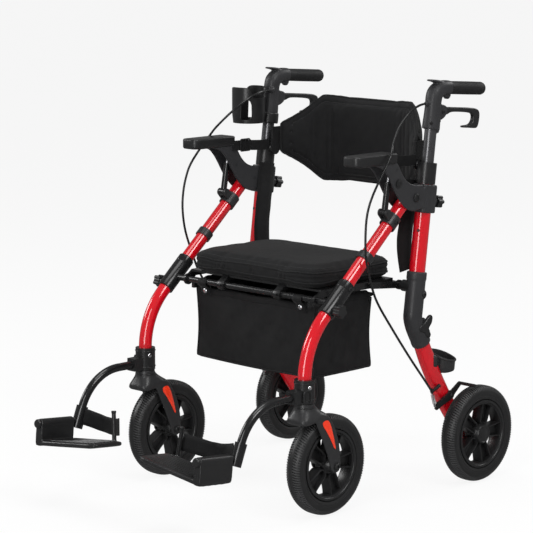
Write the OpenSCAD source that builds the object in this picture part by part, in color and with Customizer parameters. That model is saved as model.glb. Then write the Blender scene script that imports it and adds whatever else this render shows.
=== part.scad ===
/* [Frame] */
// Distance from the middle of the chair to the middle of each side frame
frame_half = 229; // [222:1:240]
// Distance between the front and the rear axle
wheelbase = 418; // [405:1:430]
// Outer diameter of a rear post
post_d = 33; // [32:0.5:34]
// Wall of the frame tubes
tube_wall = 2; // [1.5:0.1:2.4]
// Angle at which the rear posts lean back
post_lean = 7.5; // [7:0.1:8]
// Place of the rear post's foot along the chair
post_y = 61; // [58:1:64]
// Height of the rear post's foot
post_z = 460; // [455:1:465]
// Length of the rear post above its foot
post_len = 214; // [205:1:218]
// Outer diameter of a front tube
front_d = 27; // [26:0.5:28]
// Angle at which the front tubes drop below the level
tube_angle = 41.4; // [40.5:0.1:42.5]
// Bend radius at the middle of a front leg
leg_bend_r = 155; // [140:1:165]
// Outer diameter of a lower rear leg
rear_leg_d = 31; // [29:0.5:33]
// Angle through which a lower rear leg curves
rear_leg_curve = 17.4; // [12:0.2:20]

/* [Knuckle] */
// Height of the bolt that the front frame folds on
pivot_z = 611; // [608:1:614]
// Distance of that bolt ahead of the rear post
pivot_ahead = 48; // [46:0.5:50]
// Distance of the front tube's axis above that bolt
tube_offset = 4; // [2:0.5:6]
// Diameter of the pivot bolts
bolt_d = 8; // [7:0.5:9]
// Thickness of a bracket plate
plate_t = 5; // [4:0.5:5.5]
// Height of the armrest's underside
arm_z = 684; // [682:1:688]
// Front end of the armrest
arm_front_y = -144; // [-155:1:-138]
// Width of the armrest
arm_w = 44; // [40:1:48]
// Thickness of the armrest pad
pad_t = 9; // [7:0.5:11]

/* [Wheels] */
// Diameter of all four wheels
wheel_d = 203; // [200:1:206]
// Width of a tyre
tyre_w = 38; // [36:0.5:39]
// Distance of a rear wheel outside its side frame
rear_wheel_out = 40.5; // [40.5:0.5:44]
// Diameter of the rim that the tyre sits on
rim_d = 144; // [138:1:148]
// Diameter of the rear axles
rear_axle_d = 12; // [10:0.5:13]
// Diameter of the caster axles
caster_axle_d = 10; // [8:0.5:11]
// Distance of a caster's axle behind its swivel axis
caster_trail = 61; // [56:1:64]
// Diameter of a caster stem
stem_d = 18; // [16:0.5:19]
// Number of pairs of spokes in a wheel
spoke_pairs = 5; // [4:1:6]

/* [Handles] */
// Diameter of the sliding handle tube
handle_tube_d = 25; // [24:0.5:26]
// Diameter of a grip
grip_d = 27; // [26:0.5:30]
// Length of a grip
grip_len = 112; // [100:1:120]
// Height of a handle housing's lower end along the post, from the post's foot
housing_s = 292; // [290:1:298]
// Diameter of a handle housing
housing_d = 35; // [34:0.5:38]
// Width of a brake lever
lever_w = 12; // [10:0.5:13]
// Outer diameter of the cup holder
cup_d = 76; // [72:1:80]
// Height of the cup holder
cup_h = 78; // [70:1:82]
// Outer diameter of a brake cable
cable_d = 4.8; // [4:0.2:5]

/* [Seat] */
// Gap from the seat cushion to the middle of the frame's side
seat_side_gap = 42; // [40:1:51]
// Depth of the seat cushion
seat_depth = 256; // [240:1:260]
// Thickness of the seat cushion at its edge
seat_t = 38; // [34:1:42]
// Height of the crown of the seat cushion
seat_crown = 10; // [6:1:14]
// Diameter of the cross bar under the front of the seat
bar_d = 13; // [12:0.5:14]
// Gap from the bag to the middle of the frame's side
bag_side_gap = 57; // [55:1:69]
// Height of the bag's bottom
bag_z = 258; // [250:1:270]
// Thickness of the bag's cloth and lining
bag_wall = 3; // [2.5:0.5:4]

/* [Backrest] */
// Gap from the backrest pad's end to the middle of the frame's side
back_side_gap = 35.5; // [35.5:0.5:41]
// Full height of the backrest pad
back_h = 178; // [165:1:190]
// Height of the backrest pad at its ends
back_end_h = 60; // [54:1:66]
// Thickness of the backrest pad
back_t = 26; // [22:1:30]
// Depth of the backrest's bow behind its ends
back_bow = 84; // [75:1:90]

/* [Footrests] */
// Diameter of a footrest arm
foot_arm_d = 17; // [16:0.5:18]
// Bend radius of a footrest arm
foot_bend_r = 105; // [100:1:110]
// Width of a footplate, from its hinge inwards
plate_w = 168; // [150:1:175]
// Depth of a footplate
plate_depth = 87; // [80:1:91]
// Diameter of a footplate's hinge pin
hinge_d = 10; // [8:0.5:11]

/* [Hidden] */
$fn = 48;

// Fits and gaps
run_gap = 0.05;
slide_gap = 0.3;
body_gap = 0.8;
skin_gap = 0.3;
cut = 1;
weld = 0.02;
bulge = 0.6;
through = 400;

// Colours
red = [0.76, 0.03, 0.08];
black = [0.06, 0.06, 0.065];
dark = [0.13, 0.13, 0.14];
grey = [0.27, 0.27, 0.28];
steel = [0.7, 0.7, 0.72];
cloth = [0.09, 0.09, 0.095];

// Rear post line, front pivot and front tube line of the left side
axle_z = wheel_d / 2;
front_y = -wheelbase / 2;
rear_y = wheelbase / 2;
swivel_y = front_y - caster_trail;
post_dir = [0, sin(post_lean), cos(post_lean)];
post_back = [0, cos(post_lean), -sin(post_lean)];
post_foot = [frame_half, post_y, post_z];
pivot_s = (pivot_z - post_z) / cos(post_lean);
pivot = on_post(pivot_s) - [0, pivot_ahead, 0];
tube_dir = [0, -cos(tube_angle), -sin(tube_angle)];
tube_up = [0, -sin(tube_angle), cos(tube_angle)];
tube_root = pivot + tube_offset * tube_up;
knee_t = (tube_root.y - swivel_y) / cos(tube_angle);
knee = on_tube(knee_t);
knee_turn = 90 - tube_angle;
knee_run = leg_bend_r * tan(knee_turn / 2);

// Knuckle bracket: two plates on either side of the front tube
plate_in = front_d / 2 + body_gap;
clamp_r = post_d / 2 + 3;
clamp_s = [pivot_s - 36, pivot_s + 22];
upper_bolt = pivot + [0, -54, 33.5];
lug_r = front_d / 2 + 3;
arm_t = 13;
beam_w = 2 * (plate_in + plate_t);
beam_in = 14;
pad_z = arm_z + arm_t;
collar_s = [clamp_s[1] + skin_gap, post_len + 4];
collar_r = post_d / 2 + 3;
back_pin_s = post_len - 2;
back_pin = on_post(back_pin_s);
back_pin_d = 8;
knob_d = 27;
knob_t = 15;
knob_stem_d = 8;
knob_s = pivot_s - 12;
knob_neck = 14;

// Elbow and lower rear leg
elbow_r = post_d / 2 + 3;
elbow_bend_s = -105;
elbow_bend = on_post(elbow_bend_s);
leg_top = elbow_bend + [0, 22.6, -38];
leg_end = [frame_half, rear_y, axle_z];
leg_chord = leg_end - leg_top;
leg_slant = atan2(leg_chord.y, -leg_chord.z);
leg_r = norm(leg_chord) / (2 * sin(rear_leg_curve / 2));
leg_a = [-(leg_slant + rear_leg_curve / 2), -(leg_slant - rear_leg_curve / 2)];
leg_mid = leg_top + [0, leg_r * cos(leg_a[1]), -leg_r * sin(leg_a[1])];
link_pin = [0, post_y - 14, post_z - 34];
link_rod_d = 14;
cup_a = (leg_a[0] + 2 * leg_a[1]) / 3;
cup_leg = leg_mid + leg_r * [0, -cos(cup_a), sin(cup_a)];
cup_leg_dir = [0, sin(cup_a), cos(cup_a)];

// Seat linkage: cross bar on the front tubes, seat rails on it, side links to the elbows
bar_t = 291;
bar = on_tube(bar_t);
seat_half = frame_half - seat_side_gap;
bag_half = frame_half - bag_side_gap;
back_half = frame_half - back_side_gap;
rail_x = seat_half - 5;
rail_t = 5;
rail_h = 14;
link_x = rail_x + rail_t + 3;
link_joint = [0, -35, 434];
seat_base = link_joint.z + rail_h / 2;
pan_t = 4;
seat_front = bar.y - 10;
hoop_z = bar.z - 12;
hoop_d = 8;
hoop_half = bag_half - 6;
bag_top = hoop_z - hoop_d / 2 - skin_gap;
bag_front = bar.y + 9;
bag_rear = -8;
rear_rod_y = bag_rear;

// Front sleeve, caster and footrest socket
sleeve_r = front_d / 2 + 3.5;
sleeve_t = [240, 324];
leg_start_t = 292;
socket_z = [236, 282];
socket_r = front_d / 2 + 7;
leg_foot_z = 236;
stem_len = 42;
crown_z = [207, leg_foot_z - body_gap];
crown_r = 23;
blade_in = tyre_w / 2 + 3;
blade_t = 6;

// Strut between the front tube and the armrest bracket
strut_t = 72;
strut_ear = 26;
strut_foot = on_tube(strut_t) + strut_ear * tube_up;
strut_head = [frame_half, pivot.y - 59, arm_z - 12];
strut_vec = strut_head - strut_foot;
strut_len = norm(strut_vec);
strut_tilt = atan2(strut_vec.y, strut_vec.z);
strut_pin_d = 6;
strut_barrel_d = 13;
strut_rod_d = 7;
strut_slack = 1.8;

// Handle: housing on the sliding tube, grip, lever
housing_top = on_post(housing_s + 66);
grip_fall = 4.3;
grip_dir = [0, cos(grip_fall), -sin(grip_fall)];
grip_start = housing_top + [0, 42, 9];
lever_pin_d = 6;
lever_eye_r = lever_pin_d / 2 + 4;
lever_pin = on_post(housing_s + 30) + (handle_tube_d / 2 + lever_eye_r + body_gap) * post_back;
tube_bottom_s = 96;
cup_ring_s = [housing_s - 26, housing_s - 4];
cup_y = on_post(housing_s).y - 57;
cup_out = 9;
cable_out = [0, 14];
cable_end_y = [80, 84.5];
cable_end_z = 796;
cup_z = on_post(housing_s).z - 22;
cup_wall = 3;

// Rear brake arm, in the plane between the rear leg and the tyre
brake_pin = [frame_half, 150, 189];
brake_pin_d = 6;
brake_x = [rear_leg_d / 2 + 0.7, rear_wheel_out - tyre_w / 2 - 0.9];
shoe_at = [0, 28, 20];
shoe_d = 7;

// Footrest arm, hinge and plate
foot_arm_z = 250;
foot_turn = 68;
foot_arm_y = swivel_y - 77;
foot_mid = [frame_half, foot_arm_y, foot_arm_z - foot_bend_r];
foot_end = foot_mid + foot_bend_r * [0, -cos(90 - foot_turn), sin(90 - foot_turn)];
foot_dir = [0, -cos(foot_turn), -sin(foot_turn)];
foot_sleeve_len = 46;
foot_sleeve_r = foot_arm_d / 2 + 3.5;
toe_up = 5.5;
hinge_dir = [0, -cos(toe_up), sin(toe_up)];
hinge_at = foot_end + 30 * foot_dir + foot_sleeve_r * hinge_dir;
hinge_shoulder = 5;
hinge_len = plate_depth + hinge_shoulder + 2;
plate_tilt = 6.9;
plate_drop = 34;
plate_thick = 11;
strap_in = 30;
strap_behind = 3.7;

// Cord routes, chosen by hand; the x of the left one is measured from its side frame
left_cable_route = [
  [0, 79.4, 796], [0, 60, 793], [1, 34, 782], [6, -5, 755], [15, -33, 725], [25.8, -50, 709], [29, -64, 690],
  [28, -104, 634], [25, -119, 594], [25, -124, 548], [25, -121, 500], [25, -106, 451], [25, -87, 412],
  [24, -45, 358], [21, 14, 289], [18.5, 66, 232], [17.5, 90, 205]
];
right_cable_route = [
  [-14, 83.6, 796], [-15.5, 76.5, 796.3], [-27.5, 63.7, 797.8], [-42.5, 28.2, 796.9], [-47, -2.2, 789.8],
  [-42, -23.8, 778.2],
  [-32, -43, 762], [-14, -55.5, 741.5], [6, -59.1, 723], [24.6, -52.9, 710.1], [30.4, -57.1, 700.4],
  [30, -73.5, 686.5], [28, -109.3, 650.9], [27, -125.6, 621.2], [26, -135, 586.5], [25, -137, 550.8],
  [25, -129, 507], [25, -108, 455], [25, -87, 412], [24, -45, 358], [21, 14, 289], [18.5, 66, 232],
  [17.5, 90, 205]
];
cable_steps = 4;
cable_sides = 8;

function on_post(s) = post_foot + s * post_dir;
function on_tube(t) = tube_root + t * tube_dir;
function unit(v) = v / norm(v);
function flip_x(p) = [-p.x, p.y, p.z];

// Both sides from the left one
module both() {
  children();
  mirror([1, 0, 0]) children();
}

// Round bar from a to b
module rod(a, b, r) {
  v = b - a;
  translate(a) rotate([0, acos(v.z / norm(v)), atan2(v.y, v.x)]) cylinder(h = norm(v), r = r);
}

// Round bar from a to b whose far edge is rounded
module dome_rod(a, b, r, edge) {
  v = b - a;
  long = norm(v);
  translate(a) rotate([0, acos(v.z / long), atan2(v.y, v.x)]) rotate_extrude() {
    square([r, long - edge]);
    square([r - edge, long]);
    intersection() {
      translate([r - edge, long - edge]) circle(r = edge);
      translate([r - edge, long - edge]) square([edge, edge]);
    }
  }
}

// Round bar along x at a point of the side view
module cross_rod(x0, x1, p, r) {
  translate([x0, p.y, p.z]) rotate([0, 90, 0]) cylinder(h = x1 - x0, r = r);
}

// Plate of a side-view outline from x0 to x1; the outline's points are [y, z]
module side_plate(x0, x1) {
  translate([x0, 0, 0]) rotate([90, 0, 90]) linear_extrude(x1 - x0) children();
}

// Bent round bar in the side view; angles run from ahead towards up
module side_arc(mid, bend, a0, a1, r) {
  translate(mid) rotate([90, 0, -90]) rotate([0, 0, a0]) rotate_extrude(angle = a1 - a0)
    translate([bend, 0]) circle(r = r);
}

module rear_posts() {
  color(red) both() difference() {
    rod(on_post(elbow_bend_s / 2), on_post(post_len), post_d / 2);
    rod(on_post(elbow_bend_s / 2 - cut), on_post(post_len + cut), post_d / 2 - tube_wall);
  }
}

// Outline of a bracket plate: round knuckle at the bolt, arm that sweeps up to the armrest
module bracket_outline() {
  py = pivot.y;
  pz = pivot.z;
  translate([py - 4, pz]) circle(r = 26);
  polygon([
    [py - 124, arm_z], [py - 124, arm_z + arm_t], [py - 66, arm_z + arm_t], [py - 58, arm_z + 6],
    [py - 50, arm_z - 8], [py - 40, pz + 51], [py - 27, pz + 36], [py - 10, pz + 27], [py + 14, pz + 22],
    [py + 14, pz - 18], [py - 10, pz - 24], [py - 29, pz - 18], [py - 43, pz - 6], [py - 56, pz + 9],
    [py - 66, pz + 23], [py - 76, pz + 39], [py - 89, pz + 55], [py - 105, pz + 67]
  ]);
}

module arm_bracket() {
  difference() {
    union() {
      for (x = [frame_half - plate_in - plate_t, frame_half + plate_in])
        side_plate(x, x + plate_t) bracket_outline();
      rod(on_post(clamp_s[0]), on_post(clamp_s[1]), clamp_r);
      for (x = [frame_half - plate_in - plate_t, frame_half + plate_in])
        translate([x, pivot.y, pivot.z - 26]) cube([plate_t, pivot_ahead - 4, 46]);
      translate([frame_half - beam_w / 2, arm_front_y + beam_in, arm_z])
        cube([beam_w, pivot.y - 66 - arm_front_y - beam_in, arm_t]);
      rod(on_post(knob_s) + (clamp_r - 3) * post_back, on_post(knob_s) + (clamp_r + knob_neck) * post_back, 9);
    }
    rod(on_post(clamp_s[0] - cut), on_post(clamp_s[1] + cut), post_d / 2);
    rod(on_post(knob_s) + (post_d / 2) * post_back, on_post(knob_s) + (clamp_r + knob_neck + cut) * post_back,
      knob_stem_d / 2 + run_gap);
    cross_rod(0, through, pivot, bolt_d / 2);
    cross_rod(0, through, upper_bolt, bolt_d / 2);
    cross_rod(0, through, strut_head, strut_pin_d / 2);
  }
}

module arm_brackets() {
  color(grey) both() arm_bracket();
}

module armrest_pads() {
  len = pivot.y - 60 - arm_front_y;
  color(dark) both() translate([frame_half, arm_front_y, pad_z]) {
    translate([-arm_w / 2, arm_w / 2, 0]) cube([arm_w, len - arm_w / 2, pad_t]);
    intersection() {
      translate([0, arm_w / 2, 0]) cylinder(h = pad_t, r = arm_w / 2);
      translate([-arm_w / 2, 0, 0]) cube([arm_w, arm_w / 2, pad_t]);
    }
  }
}

module backrest_collars() {
  color(black) both() {
    difference() {
      rod(on_post(collar_s[0]), on_post(collar_s[1]), collar_r);
      rod(on_post(collar_s[0] - cut), on_post(post_len), post_d / 2);
      rod(on_post(post_len - cut), on_post(collar_s[1] + cut), handle_tube_d / 2 + slide_gap);
    }
    difference() {
      cross_rod(frame_half - collar_r - 3, frame_half - post_d / 2, back_pin, 10);
      rod(on_post(collar_s[0] - cut), on_post(collar_s[1] + cut), collar_r - cut);
    }
    cross_rod(frame_half - collar_r - 9.2, frame_half - collar_r - 2, back_pin, back_pin_d / 2);
  }
}

module elbow() {
  lower = leg_top + 22 * unit(leg_chord);
  difference() {
    union() {
      rod(elbow_bend, on_post(12), elbow_r);
      translate(elbow_bend) sphere(r = elbow_r + bulge);
      rod(elbow_bend, lower, elbow_r);
      cross_rod(frame_half - elbow_r - 6, frame_half, link_pin, link_rod_d / 2 + 5);
    }
    rod(on_post(elbow_bend_s / 2), on_post(12 + cut), post_d / 2);
    side_arc(leg_mid, leg_r, leg_a[0], leg_a[1], rear_leg_d / 2);
    cross_rod(0, frame_half - elbow_r + 2, link_pin, link_rod_d / 2 + run_gap);
  }
}

module elbows() {
  color(dark) both() elbow();
}

module rear_legs() {
  color(red) both() difference() {
    union() {
      side_arc(leg_mid, leg_r, leg_a[0], leg_a[1], rear_leg_d / 2);
      cross_rod(frame_half - rear_leg_d / 2, frame_half + rear_leg_d / 2, leg_end, 19);
    }
    side_arc(leg_mid, leg_r, leg_a[0] + 1.6, leg_a[1] + 1, rear_leg_d / 2 - tube_wall);
    cross_rod(0, through, leg_end, rear_axle_d / 2);
    cross_rod(frame_half, through, brake_pin, brake_pin_d / 2);
  }
}

module rear_axles() {
  x0 = frame_half - rear_leg_d / 2;
  x1 = frame_half + rear_wheel_out + 12;
  color(steel) both() {
    cross_rod(x0, x1, leg_end, rear_axle_d / 2);
    cross_rod(x0 - 5, x0, leg_end, rear_axle_d / 2 + 4);
    cross_rod(frame_half + rear_leg_d / 2 - tube_wall, frame_half + brake_x[1] - 0.3, brake_pin,
      brake_pin_d / 2);
  }
}

// Webbing beside each post, from the knuckle down to the elbow
module side_webs() {
  x = frame_half - plate_in - plate_t - skin_gap;
  color(cloth) both() side_plate(x - 2, x) polygon([
    [post_y - 16, post_z - 4], [post_y + 14, post_z - 4], [post_y + 20, post_z + 60],
    [post_y + 30, post_z + 120], [post_y + 34, post_z + 182], [post_y - 6, post_z + 182],
    [post_y - 14, post_z + 120], [post_y - 20, post_z + 60]
  ]);
}

// Short belt with its buckle from each armrest to the backrest collar
module arm_belts() {
  x = frame_half - plate_in - plate_t - skin_gap;
  y0 = pivot.y - 66;
  y1 = back_pin.y - 12;
  z = arm_z + 1;
  color(cloth) both() {
    translate([x - 2, y0, z - 11]) cube([2, y1 - y0, 22]);
    translate([x - 4.4, y0 + 22, z - 13]) cube([2.4, 26, 26]);
  }
}

// Cup for a cane on the left rear leg, with a slanted rim
module cane_cup() {
  at = [frame_half, 144, 236];
  r = 27;
  high = 50;
  low = 18;
  color(dark) difference() {
    union() {
      translate(at) cylinder(h = high, r = r);
      translate(at + [-9, -44, 12]) cube([18, 24, 30]);
    }
    translate(at + [0, 0, 3]) cylinder(h = high, r = r - 3);
    translate(at + [-r - cut, -r, high]) rotate([-atan2(high - low, 2 * r), 0, 0])
      cube([2 * r + 2 * cut, 4 * r, high]);
    rod(cup_leg - 60 * cup_leg_dir, cup_leg + 60 * cup_leg_dir, rear_leg_d / 2 + 0.6);
  }
}

module pivot_bolts() {
  x0 = frame_half - plate_in - plate_t;
  x1 = frame_half + plate_in + plate_t;
  color(steel) both() {
    cross_rod(x0, x1, pivot, bolt_d / 2);
    cross_rod(x0, x0 + plate_t, upper_bolt, bolt_d / 2);
    cross_rod(x1 - plate_t, x1 + cut, upper_bolt, bolt_d / 2);
    for (p = [pivot, upper_bolt]) cross_rod(x1, x1 + 3, p, bolt_d / 2 + 4);
    cross_rod(x0, x1, strut_head, strut_pin_d / 2);
  }
}

// Smooth curve through a cord's points
function curve_at(p, i, u) =
  let (a = p[max(i - 1, 0)], b = p[i], c = p[i + 1], d = p[min(i + 2, len(p) - 1)])
  0.5 * (2 * b + (c - a) * u + (2 * a - 5 * b + 4 * c - d) * u * u + (3 * b - a - 3 * c + d) * u * u * u);
function curve(p, steps) = concat(
  [for (i = [0 : len(p) - 2]) for (k = [0 : steps - 1]) curve_at(p, i, k / steps)],
  [p[len(p) - 1]]
);
function ring(q, i, r, sides) =
  let (d = unit(q[min(i + 1, len(q) - 1)] - q[max(i - 1, 0)]))
  let (n = unit(cross(d, [1, 0, 0])), m = cross(d, n))
  [for (k = [0 : sides - 1]) q[i] + r * (cos(360 * k / sides) * n + sin(360 * k / sides) * m)];

// Closed skin over rings of points: two triangles a side, and a fan on each end
module skin(rings) {
  n = len(rings[0]);
  last = len(rings) - 1;
  pts = [for (ring = rings) each ring];
  walls = [for (i = [0 : last - 1]) for (k = [0 : n - 1])
    let (a = i * n + k, b = i * n + (k + 1) % n) each [[a, a + n, b], [b, a + n, b + n]]];
  caps = [for (k = [1 : n - 2]) each [[0, k, k + 1], [last * n, last * n + k + 1, last * n + k]]];
  polyhedron(concat(pts), concat(walls, caps), convexity = 6);
}

module brake_cable(route, side) {
  at = [for (p = route) [side * (frame_half + p.x), p.y, p.z]];
  q = curve(at, cable_steps);
  color(black) skin([for (i = [0 : len(q) - 1]) ring(q, i, cable_d / 2, cable_sides)]);
}

module left_brake_cable() {
  brake_cable(left_cable_route, 1);
}

module right_brake_cable() {
  brake_cable(right_cable_route, -1);
}

// Lobed hand knob; its stem points away from the lobes
module star_knob(lobes) {
  cylinder(h = knob_t, r = knob_d / 2 - 3);
  for (i = [0 : lobes - 1]) rotate(i * 360 / lobes) translate([knob_d / 2 - 4, 0, 0]) cylinder(h = knob_t, r = 4);
}

module post_knob() {
  color(black) {
    a = on_post(knob_s) + (clamp_r + knob_neck + body_gap) * post_back;
    translate(a) rotate([-90 - post_lean, 0, 0]) star_knob(6);
    rod(on_post(knob_s) + (post_d / 2 + 0.5) * post_back, a + cut * post_back, knob_stem_d / 2);
  }
}

module left_post_knob() {
  post_knob();
}

module right_post_knob() {
  mirror([1, 0, 0]) post_knob();
}

module front_tubes() {
  color(red) both() difference() {
    union() {
      difference() {
        rod(on_tube(0), on_tube(leg_start_t), front_d / 2);
        rod(on_tube(-cut), on_tube(leg_start_t + cut), front_d / 2 - tube_wall);
      }
      cross_rod(frame_half - front_d / 2, frame_half + front_d / 2, pivot, lug_r);
    }
    cross_rod(0, through, pivot, bolt_d / 2 + run_gap);
  }
}

module front_sleeve() {
  knob_x = frame_half + sleeve_r;
  knob_p = on_tube(sleeve_t[1] - 16);
  difference() {
    union() {
      rod(on_tube(sleeve_t[0]), on_tube(sleeve_t[1]), sleeve_r);
      cross_rod(frame_half, knob_x + 3, knob_p, 9);
    }
    rod(on_tube(sleeve_t[0] - cut), on_tube(sleeve_t[1] + cut), front_d / 2);
    cross_rod(frame_half, through, knob_p, knob_stem_d / 2 + run_gap);
    cross_rod(0, frame_half, bar, bar_d / 2);
  }
}

module front_sleeves() {
  color(dark) both() front_sleeve();
}

module front_leg(r) {
  low = knee - [0, 0, knee_run];
  rod(on_tube(leg_start_t), on_tube(knee_t - knee_run + cut), r - weld);
  side_arc(low + [0, leg_bend_r, 0], leg_bend_r, 0, knee_turn, r);
  rod([frame_half, swivel_y, leg_foot_z], low + [0, 0, cut], r - weld);
}

module front_legs() {
  color(red) both() difference() {
    front_leg(front_d / 2);
    translate([frame_half, swivel_y, leg_foot_z - cut]) cylinder(h = stem_len + 4, r = stem_d / 2 + run_gap);
  }
}

// Cross bar with the hoop that the bag hangs on
module front_cross_bar() {
  end = [frame_half - front_d / 2 - skin_gap, bar.y, bar.z];
  color(black) {
    rod(flip_x(end), end, bar_d / 2);
    both() {
      rod([hoop_half, rear_rod_y, hoop_z], [hoop_half, bar.y, hoop_z], hoop_d / 2);
      translate([hoop_half, rear_rod_y, hoop_z]) sphere(r = hoop_d / 2);
      translate([hoop_half - 4, bar.y - 4, hoop_z - 4]) cube([8, 8, bar.z - hoop_z + 4]);
    }
    rod([-hoop_half, rear_rod_y, hoop_z], [hoop_half, rear_rod_y, hoop_z], hoop_d / 2);
  }
}

// Clamp with two ears for the strut, and a plain ring lower down
module tube_clamps() {
  r = front_d / 2;
  color(dark) both() {
    difference() {
      union() {
        rod(on_tube(strut_t - 13), on_tube(strut_t + 13), r + 3.5);
        for (x = [-11.4, 7.4]) translate([frame_half + x, 0, 0]) {
          rod_plate = strut_foot - [frame_half, 0, 0];
          cross_rod(0, 4, rod_plate, 8);
          translate(on_tube(strut_t) - [frame_half, 0, 0]) rotate([tube_angle, 0, 0])
            translate([0, -8, 0]) cube([4, 16, strut_ear]);
        }
      }
      rod(on_tube(0), on_tube(sleeve_t[0]), r);
      cross_rod(0, through, strut_foot, strut_pin_d / 2);
    }
    cross_rod(frame_half - 12, frame_half + 12, strut_foot, strut_pin_d / 2);
    difference() {
      rod(on_tube(163), on_tube(179), r + 3);
      rod(on_tube(162), on_tube(180), r);
    }
  }
}

// Open bag: four walls and a floor, with front tabs up to the cross bar
module seat_bag() {
  y0 = bag_front;
  y1 = bag_rear - 2;
  h = bag_top - bag_z;
  color(cloth) {
    difference() {
      translate([-bag_half, y0, bag_z]) cube([2 * bag_half, y1 - y0, h]);
      translate([-bag_half + bag_wall, y0 + bag_wall, bag_z + bag_wall])
        cube([2 * (bag_half - bag_wall), y1 - y0 - 2 * bag_wall, h]);
    }
    for (x = [-136, 136]) translate([x - 12, y0, bag_top - cut])
      cube([24, 2.4, bar.z + 4 - bag_top]);
    both() translate([bag_half - 2, y0 + 40, bag_top - 10]) cube([2.4, y1 - y0 - 60, 10 + hoop_d]);
  }
}

// Collar on each front leg that takes the footrest arm
module footrest_sockets() {
  color(dark) both() difference() {
    union() {
      translate([frame_half, swivel_y, socket_z[0]]) cylinder(h = socket_z[1] - socket_z[0], r = socket_r);
      translate([frame_half - 12, swivel_y - 40, foot_arm_z - 13]) cube([24, 40, 26]);
    }
    translate([frame_half, swivel_y, socket_z[0] - cut]) cylinder(h = through, r = front_d / 2);
    rod([frame_half, swivel_y - 22, foot_arm_z], [frame_half, swivel_y - 60, foot_arm_z], foot_arm_d / 2);
  }
}

module footrest_arms() {
  sleeve_end = foot_end + foot_sleeve_len * foot_dir;
  color(black) both() {
    rod([frame_half, swivel_y - 22, foot_arm_z], [frame_half, foot_arm_y - 5, foot_arm_z], foot_arm_d / 2 - 0.2);
    side_arc(foot_mid, foot_bend_r, 90 - foot_turn - 4, 90, foot_arm_d / 2);
    rod(foot_end, sleeve_end, foot_sleeve_r);
    rod(hinge_at - foot_sleeve_r * hinge_dir, hinge_at + hinge_len * hinge_dir, hinge_d / 2);
  }
}

module sleeve_knob() {
  p = on_tube(sleeve_t[1] - 16);
  x = frame_half + sleeve_r + 3 + body_gap;
  color(black) {
    translate([x, p.y, p.z]) rotate([0, 90, 0]) star_knob(5);
    cross_rod(frame_half + front_d / 2 + 0.5, x + cut, p, knob_stem_d / 2);
  }
}

module left_sleeve_knob() {
  sleeve_knob();
}

module right_sleeve_knob() {
  mirror([1, 0, 0]) sleeve_knob();
}

// Fork blade outline from the crown back to the axle
module blade_outline() {
  translate([front_y, axle_z]) circle(r = 14);
  polygon([
    [swivel_y - 21, crown_z[1] - 6], [swivel_y - 21, crown_z[0] - 12], [swivel_y - 4, crown_z[0] - 18],
    [swivel_y + 14, crown_z[0] - 44], [front_y - 14, axle_z], [front_y + 14, axle_z],
    [front_y + 8, axle_z + 46], [swivel_y + 46, crown_z[0] - 16], [swivel_y + 22, crown_z[1] - 6]
  ]);
}

module caster_fork() {
  color(dark) difference() {
    union() {
      for (x = [-blade_in - blade_t, blade_in]) side_plate(frame_half + x, frame_half + x + blade_t) blade_outline();
      translate([frame_half - blade_in - blade_t, swivel_y - 21, crown_z[0]])
        cube([2 * (blade_in + blade_t), 43, crown_z[1] - crown_z[0] - 6]);
      translate([frame_half, swivel_y, crown_z[0]]) cylinder(h = crown_z[1] - crown_z[0], r = crown_r - 4);
      translate([frame_half, swivel_y, crown_z[0]])
        cylinder(h = leg_foot_z + stem_len - crown_z[0], r = stem_d / 2);
    }
    cross_rod(0, through, [0, front_y, axle_z], caster_axle_d / 2);
  }
}

module left_caster_fork() {
  caster_fork();
}

module right_caster_fork() {
  mirror([1, 0, 0]) caster_fork();
}

module caster_axle() {
  out = blade_in + blade_t;
  color(steel) for (x = [frame_half - out - 4, frame_half + out]) {
    cross_rod(x, x + 4, [0, front_y, axle_z], caster_axle_d / 2 + 3);
  }
  color(steel) cross_rod(frame_half - out, frame_half + out, [0, front_y, axle_z], caster_axle_d / 2);
}

module left_caster_axle() {
  caster_axle();
}

module right_caster_axle() {
  mirror([1, 0, 0]) caster_axle();
}

// Tyre of round section, cut flat where it sits on the rim
module tyre(at) {
  color(black) translate(at) rotate([0, 90, 0]) rotate_extrude($fn = 96) difference() {
    translate([wheel_d / 2 - tyre_w / 2, 0]) circle(r = tyre_w / 2);
    translate([0, -tyre_w]) square([rim_d / 2, 2 * tyre_w]);
  }
}

// Rim: outer ring, hub with its bore, pairs of spokes
module rim(at, bore_d, hub_d, cap) {
  ring_w = tyre_w - 10;
  hub_w = 2 * blade_in - 2;
  color(dark) translate(at) rotate([0, 90, 0]) difference() {
    union() {
      rotate_extrude($fn = 96) translate([rim_d / 2 - 9, -ring_w / 2]) square([9, ring_w]);
      translate([0, 0, -hub_w / 2]) cylinder(h = hub_w, d = hub_d);
      for (i = [0 : spoke_pairs - 1]) for (lean = [-16, 16])
        rotate(i * 360 / spoke_pairs + lean) translate([hub_d / 2 - 3, -4, -9])
          cube([rim_d / 2 - hub_d / 2 - 3, 8, 18]);
    }
    translate([0, 0, -through / 2]) cylinder(h = through / 2 + hub_w / 2 - cap, d = bore_d + 2 * run_gap);
  }
}

left_caster_at = [frame_half, front_y, axle_z];
left_rear_at = [frame_half + rear_wheel_out, rear_y, axle_z];

module left_caster_tyre() {
  tyre(left_caster_at);
}

module left_caster_rim() {
  rim(left_caster_at, caster_axle_d, 34, -1);
}

module right_caster_tyre() {
  mirror([1, 0, 0]) tyre(left_caster_at);
}

module right_caster_rim() {
  mirror([1, 0, 0]) rim(left_caster_at, caster_axle_d, 34, -1);
}

module left_rear_tyre() {
  tyre(left_rear_at);
}

module left_rear_rim() {
  rim(left_rear_at, rear_axle_d, 42, 4);
}

module right_rear_tyre() {
  mirror([1, 0, 0]) tyre(left_rear_at);
}

module right_rear_rim() {
  mirror([1, 0, 0]) rim(left_rear_at, rear_axle_d, 42, 4);
}

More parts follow.
